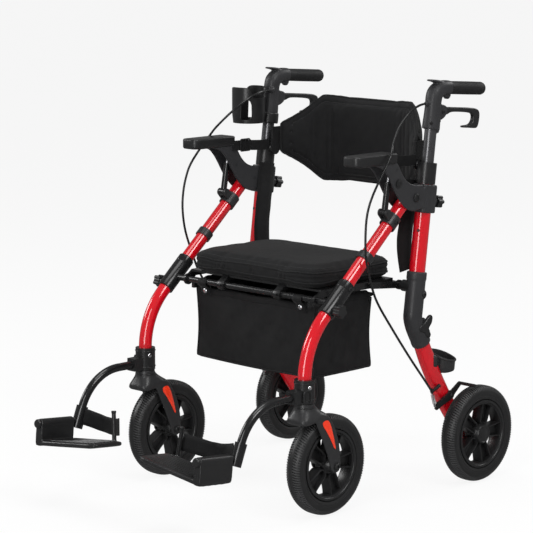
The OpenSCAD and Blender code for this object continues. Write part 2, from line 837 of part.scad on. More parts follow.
module handle_tube() {
  color(steel) difference() {
    rod(on_post(tube_bottom_s), on_post(housing_s + 60), handle_tube_d / 2);
    rod(on_post(tube_bottom_s - cut), on_post(housing_s + 58), handle_tube_d / 2 - tube_wall);
  }
}

module left_handle_tube() {
  handle_tube();
}

module right_handle_tube() {
  mirror([1, 0, 0]) handle_tube();
}

// Housing that turns from the post into the grip, with a thumb rest, a cable boss and the lever's slot
module handle_housing(boss) {
  r = housing_d / 2;
  bend = housing_top;
  color(grey) difference() {
    union() {
      rod(on_post(housing_s), bend, r);
      translate(bend) sphere(r = r + bulge);
      rod(bend, grip_start + 6 * unit(grip_start - bend), grip_d / 2 + 2);
      translate(bend + [-11, -16, r + 6]) cube([22, 38, 5]);
      translate(bend + [-7, -8, 0]) cube([14, 28, r + 8]);
      rod([frame_half - cable_out[boss], cable_end_y[boss], cable_end_z],
        [frame_half - cable_out[boss] * 0.8, on_post(housing_s + 46).y - 13.5, cable_end_z], 5);
      translate([frame_half - r + 4, lever_pin.y - 12, lever_pin.z - 12]) cube([2 * r - 8, 26, 30]);
    }
    rod(on_post(housing_s - cut), on_post(housing_s + 60), handle_tube_d / 2);
    translate([frame_half - lever_w / 2 - body_gap, lever_pin.y - 9, lever_pin.z - 20])
      cube([lever_w + 2 * body_gap, 60, 40]);
    cross_rod(0, through, lever_pin, lever_pin_d / 2);
    rod(grip_start, grip_start + 40 * grip_dir, grip_d);
  }
  color(steel) cross_rod(frame_half - r + 5, frame_half + r - 5, lever_pin, lever_pin_d / 2);
}

module left_handle_housing() {
  handle_housing(0);
}

module right_handle_housing() {
  mirror([1, 0, 0]) handle_housing(1);
}

module grip() {
  end = grip_start + grip_len * grip_dir;
  color(black) {
    dome_rod(grip_start + skin_gap * grip_dir, end, grip_d / 2, 9);
  }
}

module left_grip() {
  grip();
}

module right_grip() {
  mirror([1, 0, 0]) grip();
}

// Lever: eye on the pin, long arm under the grip, hook down and forward
module brake_lever() {
  y = lever_pin.y;
  z = lever_pin.z;
  x = [frame_half - lever_w / 2, frame_half + lever_w / 2];
  color(dark) difference() {
    union() {
      cross_rod(x[0], x[1], lever_pin, lever_eye_r);
      side_plate(x[0], x[1]) polygon([
        [y + 2, z + 5], [y + 20, z + 9], [y + 112, z - 1], [y + 123, z - 6], [y + 124, z - 17], [y + 121, z - 33],
        [y + 116, z - 41], [y + 73, z - 37], [y + 73, z - 33], [y + 92, z - 32], [y + 102, z - 26],
        [y + 105, z - 14], [y + 97, z - 8], [y + 34, z - 2], [y + 18, z - 8], [y + 2, z - 5]
      ]);
    }
    cross_rod(x[0] - cut, x[1] + cut, lever_pin, lever_pin_d / 2 + run_gap);
  }
}

module left_brake_lever() {
  brake_lever();
}

module right_brake_lever() {
  mirror([1, 0, 0]) brake_lever();
}

// Brake arm: plate on the rear leg's pin with a shoe bar over the tyre
module brake_arm() {
  y = brake_pin.y;
  z = brake_pin.z;
  x = [frame_half + brake_x[0], frame_half + brake_x[1]];
  shoe = brake_pin + shoe_at;
  color(black) {
    side_plate(x[0], x[1]) difference() {
      union() {
        translate([y, z]) circle(r = 9);
        translate([y + shoe_at.y, z + shoe_at.z]) circle(r = shoe_d / 2);
        polygon([
          [y - 50, z - 22], [y - 42, z - 10], [y, z + 8], [y + shoe_at.y - 3, z + shoe_at.z + 3],
          [y + shoe_at.y + 3, z + shoe_at.z - 3], [y, z - 9], [y - 46, z - 26]
        ]);
      }
      translate([y, z]) circle(r = brake_pin_d / 2 + run_gap);
    }
    cross_rod(x[1] - cut, frame_half + rear_wheel_out + tyre_w / 2, shoe, shoe_d / 2);
  }
}

module left_brake_arm() {
  brake_arm();
}

module right_brake_arm() {
  mirror([1, 0, 0]) brake_arm();
}

// Cup holder with a ring on the right handle tube and two tall slots
module cup_holder() {
  at = [-frame_half - cup_out, cup_y, cup_z];
  r = cup_d / 2;
  ring0 = flip_x(on_post(cup_ring_s[0]));
  ring1 = flip_x(on_post(cup_ring_s[1]));
  color(dark) difference() {
    union() {
      translate(at) cylinder(h = cup_h, r = r);
      rod(ring0, ring1, handle_tube_d / 2 + 4);
      translate(at + [-6, r - 6, 4]) cube([22, 14, 16]);
    }
    translate(at + [0, 0, cup_wall]) cylinder(h = cup_h, r = r - cup_wall);
    for (a = [25, 205]) translate(at + [0, 0, 16]) rotate(a)
      translate([0, -7, 0]) cube([r + cut, 14, cup_h - 30]);
    rod(ring0 - post_dir * 30, ring1 + post_dir * 30, handle_tube_d / 2);
  }
}

// Rod between the elbows with the two side links
module seat_links() {
  ends = frame_half - elbow_r + 1;
  color(black) {
    cross_rod(-ends, ends, link_pin, link_rod_d / 2);
    both() side_plate(link_x, link_x + rail_t) {
      translate([link_pin.y, link_pin.z]) circle(r = link_rod_d / 2 + 3);
      translate([link_joint.y, link_joint.z]) circle(r = rail_h / 2);
      polygon([
        [link_pin.y, link_pin.z + rail_h / 2], [link_joint.y, link_joint.z + rail_h / 2],
        [link_joint.y, link_joint.z - rail_h / 2], [link_pin.y, link_pin.z - rail_h / 2]
      ]);
    }
  }
}

// Two rails that turn on the cross bar, and the pan that they carry
module seat_frame() {
  rear = link_pin.y - link_rod_d / 2 - 6;
  color(black) difference() {
    union() {
      both() {
        side_plate(rail_x, rail_x + rail_t) {
          translate([bar.y, bar.z]) circle(r = bar_d / 2 + 5);
          polygon([
            [bar.y - 4, bar.z + 8], [bar.y + 12, seat_base], [rear, seat_base], [rear, seat_base - rail_h],
            [bar.y + 20, seat_base - rail_h], [bar.y + 6, bar.z - 8]
          ]);
        }
        cross_rod(rail_x + rail_t - cut, link_x - 0.6, link_joint, 6);
        translate([80, 0, 0]) side_plate(-9, 9) {
          translate([bar.y, bar.z]) circle(r = bar_d / 2 + 4);
          polygon([[bar.y - 4, bar.z + 8], [bar.y + 8, seat_base], [bar.y + 26, seat_base], [bar.y + 8, bar.z + 4]]);
        }
      }
      translate([-rail_x - cut, bar.y + 8, seat_base - pan_t])
        cube([2 * (rail_x + cut), rear - bar.y - 8, pan_t]);
    }
    cross_rod(-through, through, bar, bar_d / 2 + run_gap);
  }
}

// Outline of a cushion: rounded corners, sides drawn in between them
function cushion_ring(half_x, half_y, mid_y, z, pull, sides) = [
  for (k = [0 : sides - 1])
    let (a = 360 * k / sides, c = cos(a), s = sin(a), draw = 1 - pull * (1 - abs(sin(2 * a))))
    [half_x * draw * sign(c) * pow(abs(c), 0.3), mid_y + half_y * draw * sign(s) * pow(abs(s), 0.3), z]
];

module seat_cushion() {
  half_y = seat_depth / 2;
  mid = seat_front + half_y;
  sides = 48;
  z0 = seat_base;
  edge = [[0, 9], [5, 3], [12, 0], [seat_t - 12, 0], [seat_t - 5, 3], [seat_t - 1, 9]];
  dome = [0.8, 0.6, 0.4, 0.2];
  color(cloth) skin(concat(
    [for (e = edge) cushion_ring(seat_half - e[1], half_y - e[1], mid, z0 + e[0], 0.018, sides)],
    [for (d = dome) cushion_ring((seat_half - 9) * d, (half_y - 9) * d, mid,
      z0 + seat_t - 1 + seat_crown * (1 - d * d), 0.018 * d, sides)]
  ));
}

// Plates at the ends of the backrest, on the collars' pins
module backrest_brackets() {
  x = frame_half - collar_r - 4.2;
  top = back_mid_z + back_end_h / 2 - 4;
  low = back_mid_z - back_end_h / 2 + 4;
  color(black) both() side_plate(x - 5, x) difference() {
    union() {
      translate([back_pin.y, back_pin.z]) circle(r = 12);
      translate([back_pin.y - 9, low]) square([30, top - low]);
    }
    translate([back_pin.y, back_pin.z]) circle(r = back_pin_d / 2 + run_gap);
  }
}

back_mid_z = 692;
back_power = 3.7;
back_taper = 128;
back_stations = 32;
back_sides = 20;
function back_y(u) = back_pin.y + 4 + back_bow * (1 - pow(abs(u), back_power));
function back_half_h(x) = back_h / 2 - (back_h - back_end_h) / 2
  * max(0, (abs(x) - back_taper) / (back_half - back_taper));
function back_slope(u) = -back_bow * back_power * sign(u) * pow(abs(u), back_power - 1) / back_half;

// Padded band that bows back between the posts and tapers to its ends
module backrest_pad() {
  rings = [for (i = [0 : back_stations])
    let (u = -1 + 2 * i / back_stations, x = back_half * u, turn = atan(back_slope(u)))
    let (thick = back_t / 2 * (1 - 0.45 * pow(abs(u), 4)), tall = back_half_h(x))
    [for (k = [0 : back_sides - 1])
      let (a = 360 * k / back_sides, c = cos(a), s = sin(a), off = thick * sign(c) * pow(abs(c), 0.6))
      [x - off * sin(turn), back_y(u) + off * cos(turn), back_mid_z + tall * sign(s) * pow(abs(s), 0.55)]]];
  color(cloth) skin(rings);
}

// Lower tube of a strut, with the eye that turns on the clamp's pin
module strut_barrel() {
  top = strut_foot + 62 * unit(strut_vec);
  color(black) difference() {
    union() {
      rod(strut_foot + 6 * unit(strut_vec), top, strut_barrel_d / 2);
      cross_rod(frame_half - 6.6, frame_half + 6.6, strut_foot, 8);
    }
    rod(strut_foot + 12 * unit(strut_vec), top + unit(strut_vec), strut_rod_d / 2 + slide_gap);
    cross_rod(0, through, strut_foot, strut_pin_d / 2 + run_gap);
  }
}

module left_strut_barrel() {
  strut_barrel();
}

module right_strut_barrel() {
  mirror([1, 0, 0]) strut_barrel();
}

// Sliding rod of a strut, with a wide eye on the bracket's pin
module strut_rod() {
  r = strut_pin_d / 2 + strut_slack;
  color(steel) difference() {
    union() {
      rod(strut_foot + 14 * unit(strut_vec), strut_head, strut_rod_d / 2);
      cross_rod(frame_half - 5, frame_half + 5, strut_head, r + 2.5);
    }
    cross_rod(0, through, strut_head, r);
  }
}

module left_strut_rod() {
  strut_rod();
}

module right_strut_rod() {
  mirror([1, 0, 0]) strut_rod();
}

// Footplate: block round the hinge pin, plate that rises inwards, post for the heel strap
module footplate() {
  start = hinge_at + (hinge_shoulder + body_gap) * hinge_dir;
  block_h = plate_drop + plate_thick;
  color(dark) difference() {
    translate(start) rotate([-toe_up, 0, 0]) mirror([0, 1, 0]) {
      rotate([-90, 0, 0]) cylinder(h = plate_depth, r = hinge_d / 2 + 5);
      translate([-10, 0, -block_h]) cube([20, plate_depth, block_h]);
      translate([0, 0, -plate_drop]) rotate([0, plate_tilt, 0])
        translate([-plate_w, 0, -plate_thick]) cube([plate_w, plate_depth, plate_thick]);
      translate([strap_in - plate_w, 6, -plate_drop]) rotate([0, plate_tilt, 0]) cylinder(h = 60, r = 4.5);
    }
    rod(hinge_at - hinge_dir, hinge_at + (hinge_len + 20) * hinge_dir, hinge_d / 2 + run_gap);
  }
}

module left_footplate() {
  footplate();
}

module right_footplate() {
  mirror([1, 0, 0]) footplate();
}

// Strap behind each heel, from the arm's sleeve in a bow to the post on the plate
module heel_straps() {
  from = foot_end + 20 * foot_dir + [-foot_sleeve_r - skin_gap, 0, 0];
  to = hinge_at + [strap_in - plate_w, strap_behind - hinge_shoulder, 0];
  steps = 14;
  bow = 22;
  high = 17;
  thick = 1.3;
  color(cloth) both() skin([for (i = [0 : steps])
    let (u = i / steps, x = from.x + (to.x - from.x) * u)
    let (y = from.y + (to.y - from.y) * u + bow * 4 * u * (1 - u))
    let (z = from.z - 10 * sin(180 * u) + 2 * u)
    [[x, y - thick, z - high], [x, y + thick, z - high], [x, y + thick, z + high], [x, y - thick, z + high]]]);
}

rear_posts();
arm_brackets();
armrest_pads();
backrest_collars();
elbows();
rear_legs();
rear_axles();
side_webs();
arm_belts();
cane_cup();
pivot_bolts();
left_brake_cable();
right_brake_cable();
left_post_knob();
right_post_knob();
front_tubes();
front_sleeves();
front_legs();
front_cross_bar();
tube_clamps();
seat_bag();
footrest_sockets();
footrest_arms();
left_sleeve_knob();
right_sleeve_knob();
left_caster_fork();
left_caster_axle();
left_caster_tyre();
left_caster_rim();
right_caster_fork();
right_caster_axle();
right_caster_tyre();
right_caster_rim();
left_rear_tyre();
left_rear_rim();
right_rear_tyre();
right_rear_rim();
left_handle_tube();
left_handle_housing();
left_grip();
left_brake_lever();
left_brake_arm();
right_handle_tube();
right_handle_housing();
right_grip();
right_brake_lever();
right_brake_arm();
cup_holder();
seat_links();
seat_frame();
seat_cushion();
backrest_brackets();
backrest_pad();
left_strut_barrel();
left_strut_rod();
right_strut_barrel();
right_strut_rod();
left_footplate();
right_footplate();
heel_straps();
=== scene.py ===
import math
import bpy
import bmesh
from mathutils import Matrix, Vector
from mathutils.bvhtree import BVHTree
from mathutils.kdtree import KDTree


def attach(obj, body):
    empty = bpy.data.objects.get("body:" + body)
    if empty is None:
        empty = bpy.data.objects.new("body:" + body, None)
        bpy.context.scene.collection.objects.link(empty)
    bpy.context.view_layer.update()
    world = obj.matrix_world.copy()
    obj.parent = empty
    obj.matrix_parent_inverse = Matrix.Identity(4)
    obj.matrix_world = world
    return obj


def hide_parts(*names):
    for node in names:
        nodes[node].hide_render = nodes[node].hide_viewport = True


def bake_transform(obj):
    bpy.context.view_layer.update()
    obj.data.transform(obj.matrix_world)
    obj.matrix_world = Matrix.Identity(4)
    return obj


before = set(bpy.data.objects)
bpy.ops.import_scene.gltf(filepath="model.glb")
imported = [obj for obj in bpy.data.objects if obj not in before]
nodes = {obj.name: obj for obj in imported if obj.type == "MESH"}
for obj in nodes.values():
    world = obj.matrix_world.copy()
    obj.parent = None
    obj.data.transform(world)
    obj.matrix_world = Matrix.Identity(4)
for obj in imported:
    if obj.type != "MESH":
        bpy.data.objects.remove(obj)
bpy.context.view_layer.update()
scene = bpy.context.scene
mm = 0.001
print("frame loaded,", len(nodes), "nodes")

# camera, floor and light
cameraSetup = {
    "azimuth": 44.54, "elevation": 9.28, "distance": 4.834, "target": (0.0, -0.1432, 0.4633), "lens": 160.12,
    "sensor": 36, "reach": 60}


def makeCamera(setup):
    az, el = math.radians(setup["azimuth"]), math.radians(setup["elevation"])
    back = Vector((math.sin(az) * math.cos(el), -math.cos(az) * math.cos(el), math.sin(el)))
    data = bpy.data.cameras.new("viewer")
    data.lens, data.sensor_width, data.sensor_fit = setup["lens"], setup["sensor"], "HORIZONTAL"
    data.clip_end = setup["reach"]
    camera = bpy.data.objects.new("viewer", data)
    camera.location = Vector(setup["target"]) + back * setup["distance"]
    camera.rotation_euler = back.to_track_quat("Z", "Y").to_euler()
    scene.collection.objects.link(camera)
    scene.camera = camera


def freshTree(owner):
    owner.use_nodes = True
    owner.node_tree.nodes.clear()
    return owner.node_tree


def newNode(tree, kind, values=None):
    node = tree.nodes.new(kind)
    for socket, value in (values or {}).items():
        node.inputs[socket].default_value = value
    return node


def linkAll(tree, *pairs):
    for a, b in pairs:
        tree.links.new(a, b)


def mathNode(tree, operation, *terms):  # a term is a number or another node's socket
    node = tree.nodes.new("ShaderNodeMath")
    node.operation = operation
    for socket, term in zip(node.inputs, terms):
        if isinstance(term, (int, float)):
            socket.default_value = term
        else:
            tree.links.new(term, socket)
    return node.outputs[0]


studioSetup = {
    "ambient": 0.36, "floor": (0.9, 0.9, 0.9), "floorWhite": 0.88, "floorHalf": 30, "floorDrop": 0.0004,
    "mirrored": 0.2,
    "lamps": [("keyPanel", (1.0, -2.6, 1.22), (0, -0.1, 1.22), 0.8, 2.36, 34),
              ("sidePanel", (2.3, -0.25, 2.65), (0.1, -0.1, 0.5), 1.3, 1.0, 34),
              ("farPanel", (-3.0, -1.6, 1.9), (0, -0.1, 0.45), 1.2, 1.2, 34),
              ("backPanel", (0.6, 3.2, 2.4), (0, 0.0, 0.5), 1.3, 1.3, 30),
              ("topPanel", (0.0, -0.3, 3.4), (0, -0.1, 0.4), 1.6, 1.6, 30)]}


def byRay(tree, plain, seen, dim):  # one shader for the camera, one for mirrored rays, one for the rest
    path = tree.nodes.new("ShaderNodeLightPath")
    inner, outer = tree.nodes.new("ShaderNodeMixShader"), tree.nodes.new("ShaderNodeMixShader")
    linkAll(tree, (path.outputs["Is Glossy Ray"], inner.inputs[0]), (plain.outputs[0], inner.inputs[1]),
            (dim.outputs[0], inner.inputs[2]), (inner.outputs[0], outer.inputs[1]), (seen.outputs[0], outer.inputs[2]))
    return outer, path.outputs["Is Camera Ray"]


def makeStudio(setup):
    world = bpy.data.worlds.new("studio")
    scene.world = world
    tree = freshTree(world)
    out = tree.nodes.new("ShaderNodeOutputWorld")
    lit = [newNode(tree, "ShaderNodeBackground", {"Strength": strength, "Color": (1, 1, 1, 1)})
           for strength in (setup["ambient"], 1.0, setup["mirrored"])]
    mix, byCamera = byRay(tree, *lit)
    linkAll(tree, (byCamera, mix.inputs[0]), (mix.outputs[0], out.inputs["Surface"]))
    for name, place, aim, wide, tall, power in setup["lamps"]:
        data = bpy.data.lights.new(name, "AREA")
        data.shape, data.size, data.size_y, data.energy = "RECTANGLE", wide, tall, power
        lamp = bpy.data.objects.new(name, data)
        lamp.location = place
        lamp.rotation_euler = (Vector(place) - Vector(aim)).to_track_quat("Z", "Y").to_euler()
        scene.collection.objects.link(lamp)
    mesh = bpy.data.meshes.new("studioFloor")
    wide = setup["floorHalf"]
    mesh.from_pydata([(-wide, -wide, 0), (wide, -wide, 0), (wide, wide, 0), (-wide, wide, 0)], [], [(0, 1, 2, 3)])
    floor = bpy.data.objects.new("studioFloor", mesh)
    floor.location.z = -setup["floorDrop"]
    scene.collection.objects.link(floor)
    paint = bpy.data.materials.new("floorPaper")
    tree = freshTree(paint)
    out = tree.nodes.new("ShaderNodeOutputMaterial")
    matt = newNode(tree, "ShaderNodeBsdfDiffuse", {"Color": (*setup["floor"], 1)})
    glow, dim = (newNode(tree, "ShaderNodeEmission", {"Strength": strength}) for strength in (1.0, setup["mirrored"]))
    mix, byCamera = byRay(tree, matt, glow, dim)
    share = mathNode(tree, "MULTIPLY", byCamera, setup["floorWhite"])
    linkAll(tree, (share, mix.inputs[0]), (mix.outputs[0], out.inputs["Surface"]))
    mesh.materials.append(paint)


scene.view_settings.view_transform = "Standard"
makeCamera(cameraSetup)
makeStudio(studioSetup)
print("camera and studio ready")


# shader groups that the finishes share
def groupSockets(tree, ins, outs):
    for way, rows in (("INPUT", ins), ("OUTPUT", outs)):
        for name, kind in rows.items():
            tree.interface.new_socket(name, in_out=way, socket_type="NodeSocket" + kind)
    return tree.nodes.new("NodeGroupInput"), tree.nodes.new("NodeGroupOutput")


def makeGrain():  # fine moulded grain, and broad patches of wear
    tree = bpy.data.node_groups.new("mouldedGrain", "ShaderNodeTree")
    first, last = groupSockets(tree, {"Vector": "Vector", "Grain Size": "Float", "Patch Size": "Float"},
                               {"Grain": "Float", "Patches": "Float"})
    for name, size, detail in (("Grain", "Grain Size", 2.0), ("Patches", "Patch Size", 4.0)):
        noise = newNode(tree, "ShaderNodeTexNoise", {"Detail": detail})
        linkAll(tree, (first.outputs["Vector"], noise.inputs["Vector"]), (first.outputs[size], noise.inputs["Scale"]),
                (noise.outputs["Fac"], last.inputs[name]))
    return tree


# floor and swing set how far the weave's height lifts the cloth colour: painted shade, darker in the hollows between
# threads; patches is random tone
weaveSpec = {"patches": {"Scale": 60.0, "Detail": 5.0}, "floor": 0.6, "swing": 0.4}


def makeWeave():  # plain weave over the cloth's own map, in threads a metre
    tree = bpy.data.node_groups.new("plainWeave", "ShaderNodeTree")
    first, last = groupSockets(tree, {"Vector": "Vector", "Threads": "Float"}, {"Height": "Float", "Shade": "Float"})
    split = tree.nodes.new("ShaderNodeSeparateXYZ")
    tree.links.new(first.outputs["Vector"], split.inputs[0])
    waves = []
    for axis in ("X", "Y"):
        turn = mathNode(tree, "MULTIPLY", mathNode(tree, "MULTIPLY", split.outputs[axis], first.outputs["Threads"]),
                        math.pi)
        waves.append(mathNode(tree, "SINE", turn))
    cross = mathNode(tree, "MULTIPLY", waves[0], waves[1])
    height = mathNode(tree, "ADD", mathNode(tree, "MULTIPLY", cross, 0.5), 0.5)
    noise = newNode(tree, "ShaderNodeTexNoise", weaveSpec["patches"])
    # painted shade: the colour mix follows thread height, so the hollows between threads come out darker, times a
    # random tone
    threadShade = mathNode(tree, "ADD", mathNode(tree, "MULTIPLY", height, weaveSpec["swing"]), weaveSpec["floor"])
    linkAll(tree, (first.outputs["Vector"], noise.inputs["Vector"]), (height, last.inputs["Height"]),
            (mathNode(tree, "MULTIPLY", threadShade, noise.outputs["Fac"]), last.inputs["Shade"]))
    return tree


grainGroup, weaveGroup = makeGrain(), makeWeave()


def makeFinish(name, look):
    material = bpy.data.materials.new(name)
    tree = freshTree(material)
    out = newNode(tree, "ShaderNodeOutputMaterial")
    body = newNode(tree, "ShaderNodeBsdfPrincipled", {
        "Metallic": look.get("metal", 0.0), "Coat Weight": look.get("coat", 0.0),
        "Coat Roughness": look.get("coatRough", 0.05), "Coat IOR": look.get("coatIor", 1.5),
        "Sheen Weight": look.get("sheen", 0.0), "Specular IOR Level": look.get("spec", 0.5)})
    coords, group = newNode(tree, "ShaderNodeTexCoord"), newNode(tree, "ShaderNodeGroup")
    if "threads" in look:
        group.node_tree = weaveGroup
        group.inputs["Threads"].default_value = look["threads"]
        # for cloth, Shade mixes base and alt: painted shade between the threads, with random tone
        space, fine, broad = "UV", "Height", "Shade"
    else:
        group.node_tree = grainGroup
        group.inputs["Grain Size"].default_value = look["grain"]
        group.inputs["Patch Size"].default_value = look.get("patch", 18.0)
        space, fine, broad = "Object", "Grain", "Patches"
    mix = newNode(tree, "ShaderNodeMix", {6: (*look["base"], 1), 7: (*look["alt"], 1)})
    mix.data_type = "RGBA"
    low, high = look["rough"]
    ranged = newNode(tree, "ShaderNodeMapRange", {"From Min": 0.3, "From Max": 0.7, "To Min": low, "To Max": high})
    bump = newNode(tree, "ShaderNodeBump", {"Strength": look.get("bump", 0.2), "Distance": look.get("depth", 0.0002)})
    linkAll(tree, (coords.outputs[space], group.inputs["Vector"]), (group.outputs[broad], mix.inputs[0]),
            (mix.outputs[2], body.inputs["Base Color"]), (group.outputs[broad], ranged.inputs["Value"]),
            (ranged.outputs[0], body.inputs["Roughness"]), (group.outputs[fine], bump.inputs["Height"]),
            (bump.outputs[0], body.inputs["Normal"]), (body.outputs["BSDF"], out.inputs["Surface"]))
    return material


finishLooks = {
    "redLacquer": {"base": (0.56, 0.0015, 0.008), "alt": (0.66, 0.0025, 0.012), "rough": (0.3, 0.38), "coat": 1.0,
                   "coatIor": 1.7, "spec": 0.1, "coatRough": 0.06, "grain": 160, "patch": 9, "bump": 0.012,
                   "depth": 0.00003},
    "blackLacquer": {"base": (0.007, 0.007, 0.0075), "alt": (0.011, 0.011, 0.0115), "rough": (0.2, 0.32),
                     "coat": 0.5, "spec": 0.3, "coatRough": 0.06, "grain": 1800, "patch": 14, "bump": 0.06,
                     "depth": 0.00005},
    "slatePlastic": {"base": (0.026, 0.026, 0.028), "alt": (0.034, 0.034, 0.036), "rough": (0.34, 0.46),
                     "grain": 1500, "bump": 0.2, "depth": 0.0001, "spec": 0.3},
    "forkPlastic": {"base": (0.02, 0.02, 0.021), "alt": (0.028, 0.028, 0.029), "rough": (0.32, 0.42), "grain": 1500,
                    "bump": 0.15, "depth": 0.0001, "spec": 0.38},
    "blackPlastic": {"base": (0.011, 0.011, 0.0115), "alt": (0.017, 0.017, 0.0175), "rough": (0.26, 0.36),
                     "grain": 1400, "bump": 0.1, "depth": 0.0001, "spec": 0.45},
    "glossPlastic": {"base": (0.009, 0.009, 0.0095), "alt": (0.013, 0.013, 0.0135), "rough": (0.16, 0.26),
                     "grain": 1200, "bump": 0.08, "depth": 0.00008, "spec": 0.4},
    "gripFoam": {"base": (0.012, 0.012, 0.0125), "alt": (0.018, 0.018, 0.0185), "rough": (0.5, 0.64), "grain": 700,
                 "bump": 0.4, "depth": 0.0003, "spec": 0.25},
    "tyreRubber": {"base": (0.012, 0.012, 0.0125), "alt": (0.018, 0.018, 0.0185), "rough": (0.3, 0.42),
                   "grain": 620, "bump": 0.2, "depth": 0.0002, "spec": 0.42},
    # painted highlight: a lighter copy of the tyre rubber for the tread ribs, so their tops read lit against the darker
    # tyre skin
    "treadRubber": {"base": (0.034, 0.034, 0.035), "alt": (0.045, 0.045, 0.046), "rough": (0.36, 0.48),
                    "grain": 620, "bump": 0.2, "depth": 0.0002, "spec": 0.45},
    "satinSteel": {"base": (0.5, 0.5, 0.52), "alt": (0.62, 0.62, 0.64), "rough": (0.25, 0.4), "metal": 1.0,
                   "grain": 1200, "patch": 60, "bump": 0.1, "depth": 0.00005},
    "brightCap": {"base": (0.72, 0.72, 0.74), "alt": (0.8, 0.8, 0.82), "rough": (0.12, 0.2), "metal": 1.0,
                  "grain": 900, "bump": 0.05, "depth": 0.00005},
    "graphiteTube": {"base": (0.1, 0.1, 0.105), "alt": (0.14, 0.14, 0.145), "rough": (0.24, 0.34), "metal": 0.8,
                     "grain": 1600, "patch": 40, "bump": 0.06, "depth": 0.00005},
    # cloths: base is the painted shade in the hollows between threads, alt the thread tops, mixed by the weave's Shade
    # with random tone
    "seatCloth": {"base": (0.004, 0.004, 0.0045), "alt": (0.016, 0.016, 0.0165), "rough": (0.72, 0.86),
                  "threads": 900, "bump": 0.5, "depth": 0.0003, "sheen": 0.05, "spec": 0.15},
    "bagCloth": {"base": (0.005, 0.005, 0.0055), "alt": (0.018, 0.018, 0.0185), "rough": (0.6, 0.76),
                 "threads": 1300, "bump": 0.4, "depth": 0.0002, "sheen": 0.04, "spec": 0.16},
    "strapWeb": {"base": (0.004, 0.004, 0.0045), "alt": (0.014, 0.014, 0.0145), "rough": (0.58, 0.72),
                 "threads": 620, "bump": 0.6, "depth": 0.0004, "sheen": 0.04, "spec": 0.18},
    "reflector": {"base": (0.82, 0.03, 0.006), "alt": (0.92, 0.05, 0.01), "rough": (0.12, 0.2), "coat": 0.8,
                  "coatRough": 0.04, "grain": 380, "patch": 120, "bump": 0.3, "depth": 0.0004},
    "darkThread": {"base": (0.03, 0.03, 0.032), "alt": (0.05, 0.05, 0.052), "rough": (0.6, 0.7), "grain": 2200,
                   "bump": 0.3, "depth": 0.0001}}
finish = {name: makeFinish(name, look) for name, look in finishLooks.items()}

nodeFinish = {  # nodes with this finish, then those with a left and a right one
    "redLacquer": (["rear_posts", "rear_legs", "front_tubes", "front_legs"], []),
    "slatePlastic": (["arm_brackets", "elbows"], ["handle_housing"]),
    "forkPlastic": (["tube_clamps"], ["caster_fork", "brake_lever"]),
    "blackPlastic": (["armrest_pads", "footrest_sockets", "pivot_bolts", "backrest_collars", "cane_cup", "cup_holder",
                      "backrest_brackets"],
                     ["post_knob", "sleeve_knob", "brake_arm", "caster_rim", "rear_rim", "caster_axle"]),
    "glossPlastic": (["front_sleeves"], ["footplate"]),
    "blackLacquer": (["front_cross_bar", "footrest_arms", "seat_links", "seat_frame"], ["strut_barrel"]),
    "satinSteel": (["rear_axles"], ["strut_rod"]),
    "graphiteTube": ([], ["handle_tube"]), "gripFoam": ([], ["grip"]), "tyreRubber": ([], ["caster_tyre", "rear_tyre"])}


def coatWith(piece, material):
    piece.data.materials.clear()
    piece.data.materials.append(material)


for name, (single, paired) in nodeFinish.items():
    for node in single + [side + "_" + word for word in paired for side in ("left", "right")]:
        coatWith(nodes[node], finish[name])
print("finishes ready,", len(finish))


# mesh helpers; all sizes in the tables are millimetres
def turns(n):
    return [2 * math.pi * k / n for k in range(n)]


def addMesh(name, verts, faces, material, sharp=35):
    mesh = bpy.data.meshes.new(name)
    mesh.from_pydata([tuple(Vector(v) * mm) for v in verts], [], faces)
    work = bmesh.new()
    work.from_mesh(mesh)
    bmesh.ops.remove_doubles(work, verts=work.verts, dist=1e-6)
    bmesh.ops.recalc_face_normals(work, faces=work.faces)
    work.to_mesh(mesh)
    work.free()
    mesh.materials.append(material)
    mesh.shade_smooth()
    if sharp:
        mesh.set_sharp_from_angle(angle=math.radians(sharp))
    piece = bpy.data.objects.new(name, mesh)
    scene.collection.objects.link(piece)
    return piece


def loft(rings, capStart=True, capEnd=True, loop=False):
    n = len(rings[0])
    verts = [v for ring in rings for v in ring]
    faces = []
    for i in range(len(rings) if loop else len(rings) - 1):
        a, b = i * n, ((i + 1) % len(rings)) * n
        faces += [(a + k, a + (k + 1) % n, b + (k + 1) % n, b + k) for k in range(n)]
    if not loop and capStart:
        faces.append(tuple(range(n))[::-1])
    if not loop and capEnd:
        faces.append(tuple(range((len(rings) - 1) * n, len(rings) * n)))
    return verts, faces


def joined(*shapes):
    verts, faces = [], []
    for v, f in shapes:
        faces += [tuple(i + len(verts) for i in face) for face in f]
        verts += list(v)
    return verts, faces


def curvePoints(points, steps=4, loop=False):  # smooth line through the points
    p = [Vector(q) for q in points]
    n = len(p)
    out = []
    for i in range(n if loop else n - 1):
        if loop:
            a, b, c, d = p[i - 1], p[i], p[(i + 1) % n], p[(i + 2) % n]
        else:
            a, b, c, d = p[max(i - 1, 0)], p[i], p[i + 1], p[min(i + 2, n - 1)]
        for k in range(steps):
            u = k / steps
            bend, twist = 2 * a - 5 * b + 4 * c - d, 3 * b - a - 3 * c + d
            out.append(0.5 * (2 * b + (c - a) * u + bend * u * u + twist * u ** 3))
    return out if loop else out + [p[-1]]


def sweep(points, section, loop=False, up=(0, 0, 1)):  # section(i) gives [(across, along up)] in the plane of the line
    rings, n = [], len(points)
    guide = Vector(up)
    for i in range(n):
        ahead = points[(i + 1) % n] if loop else points[min(i + 1, n - 1)]
        behind = points[i - 1] if loop else points[max(i - 1, 0)]
        along = (Vector(ahead) - Vector(behind)).normalized()
        side = along.cross(guide)
        if side.length < 1e-4:
            side = along.cross(Vector((1, 0, 0)))
        side.normalize()
        top = side.cross(along).normalized()
        rings.append([Vector(points[i]) + a * side + b * top for a, b in section(i)])
    return rings


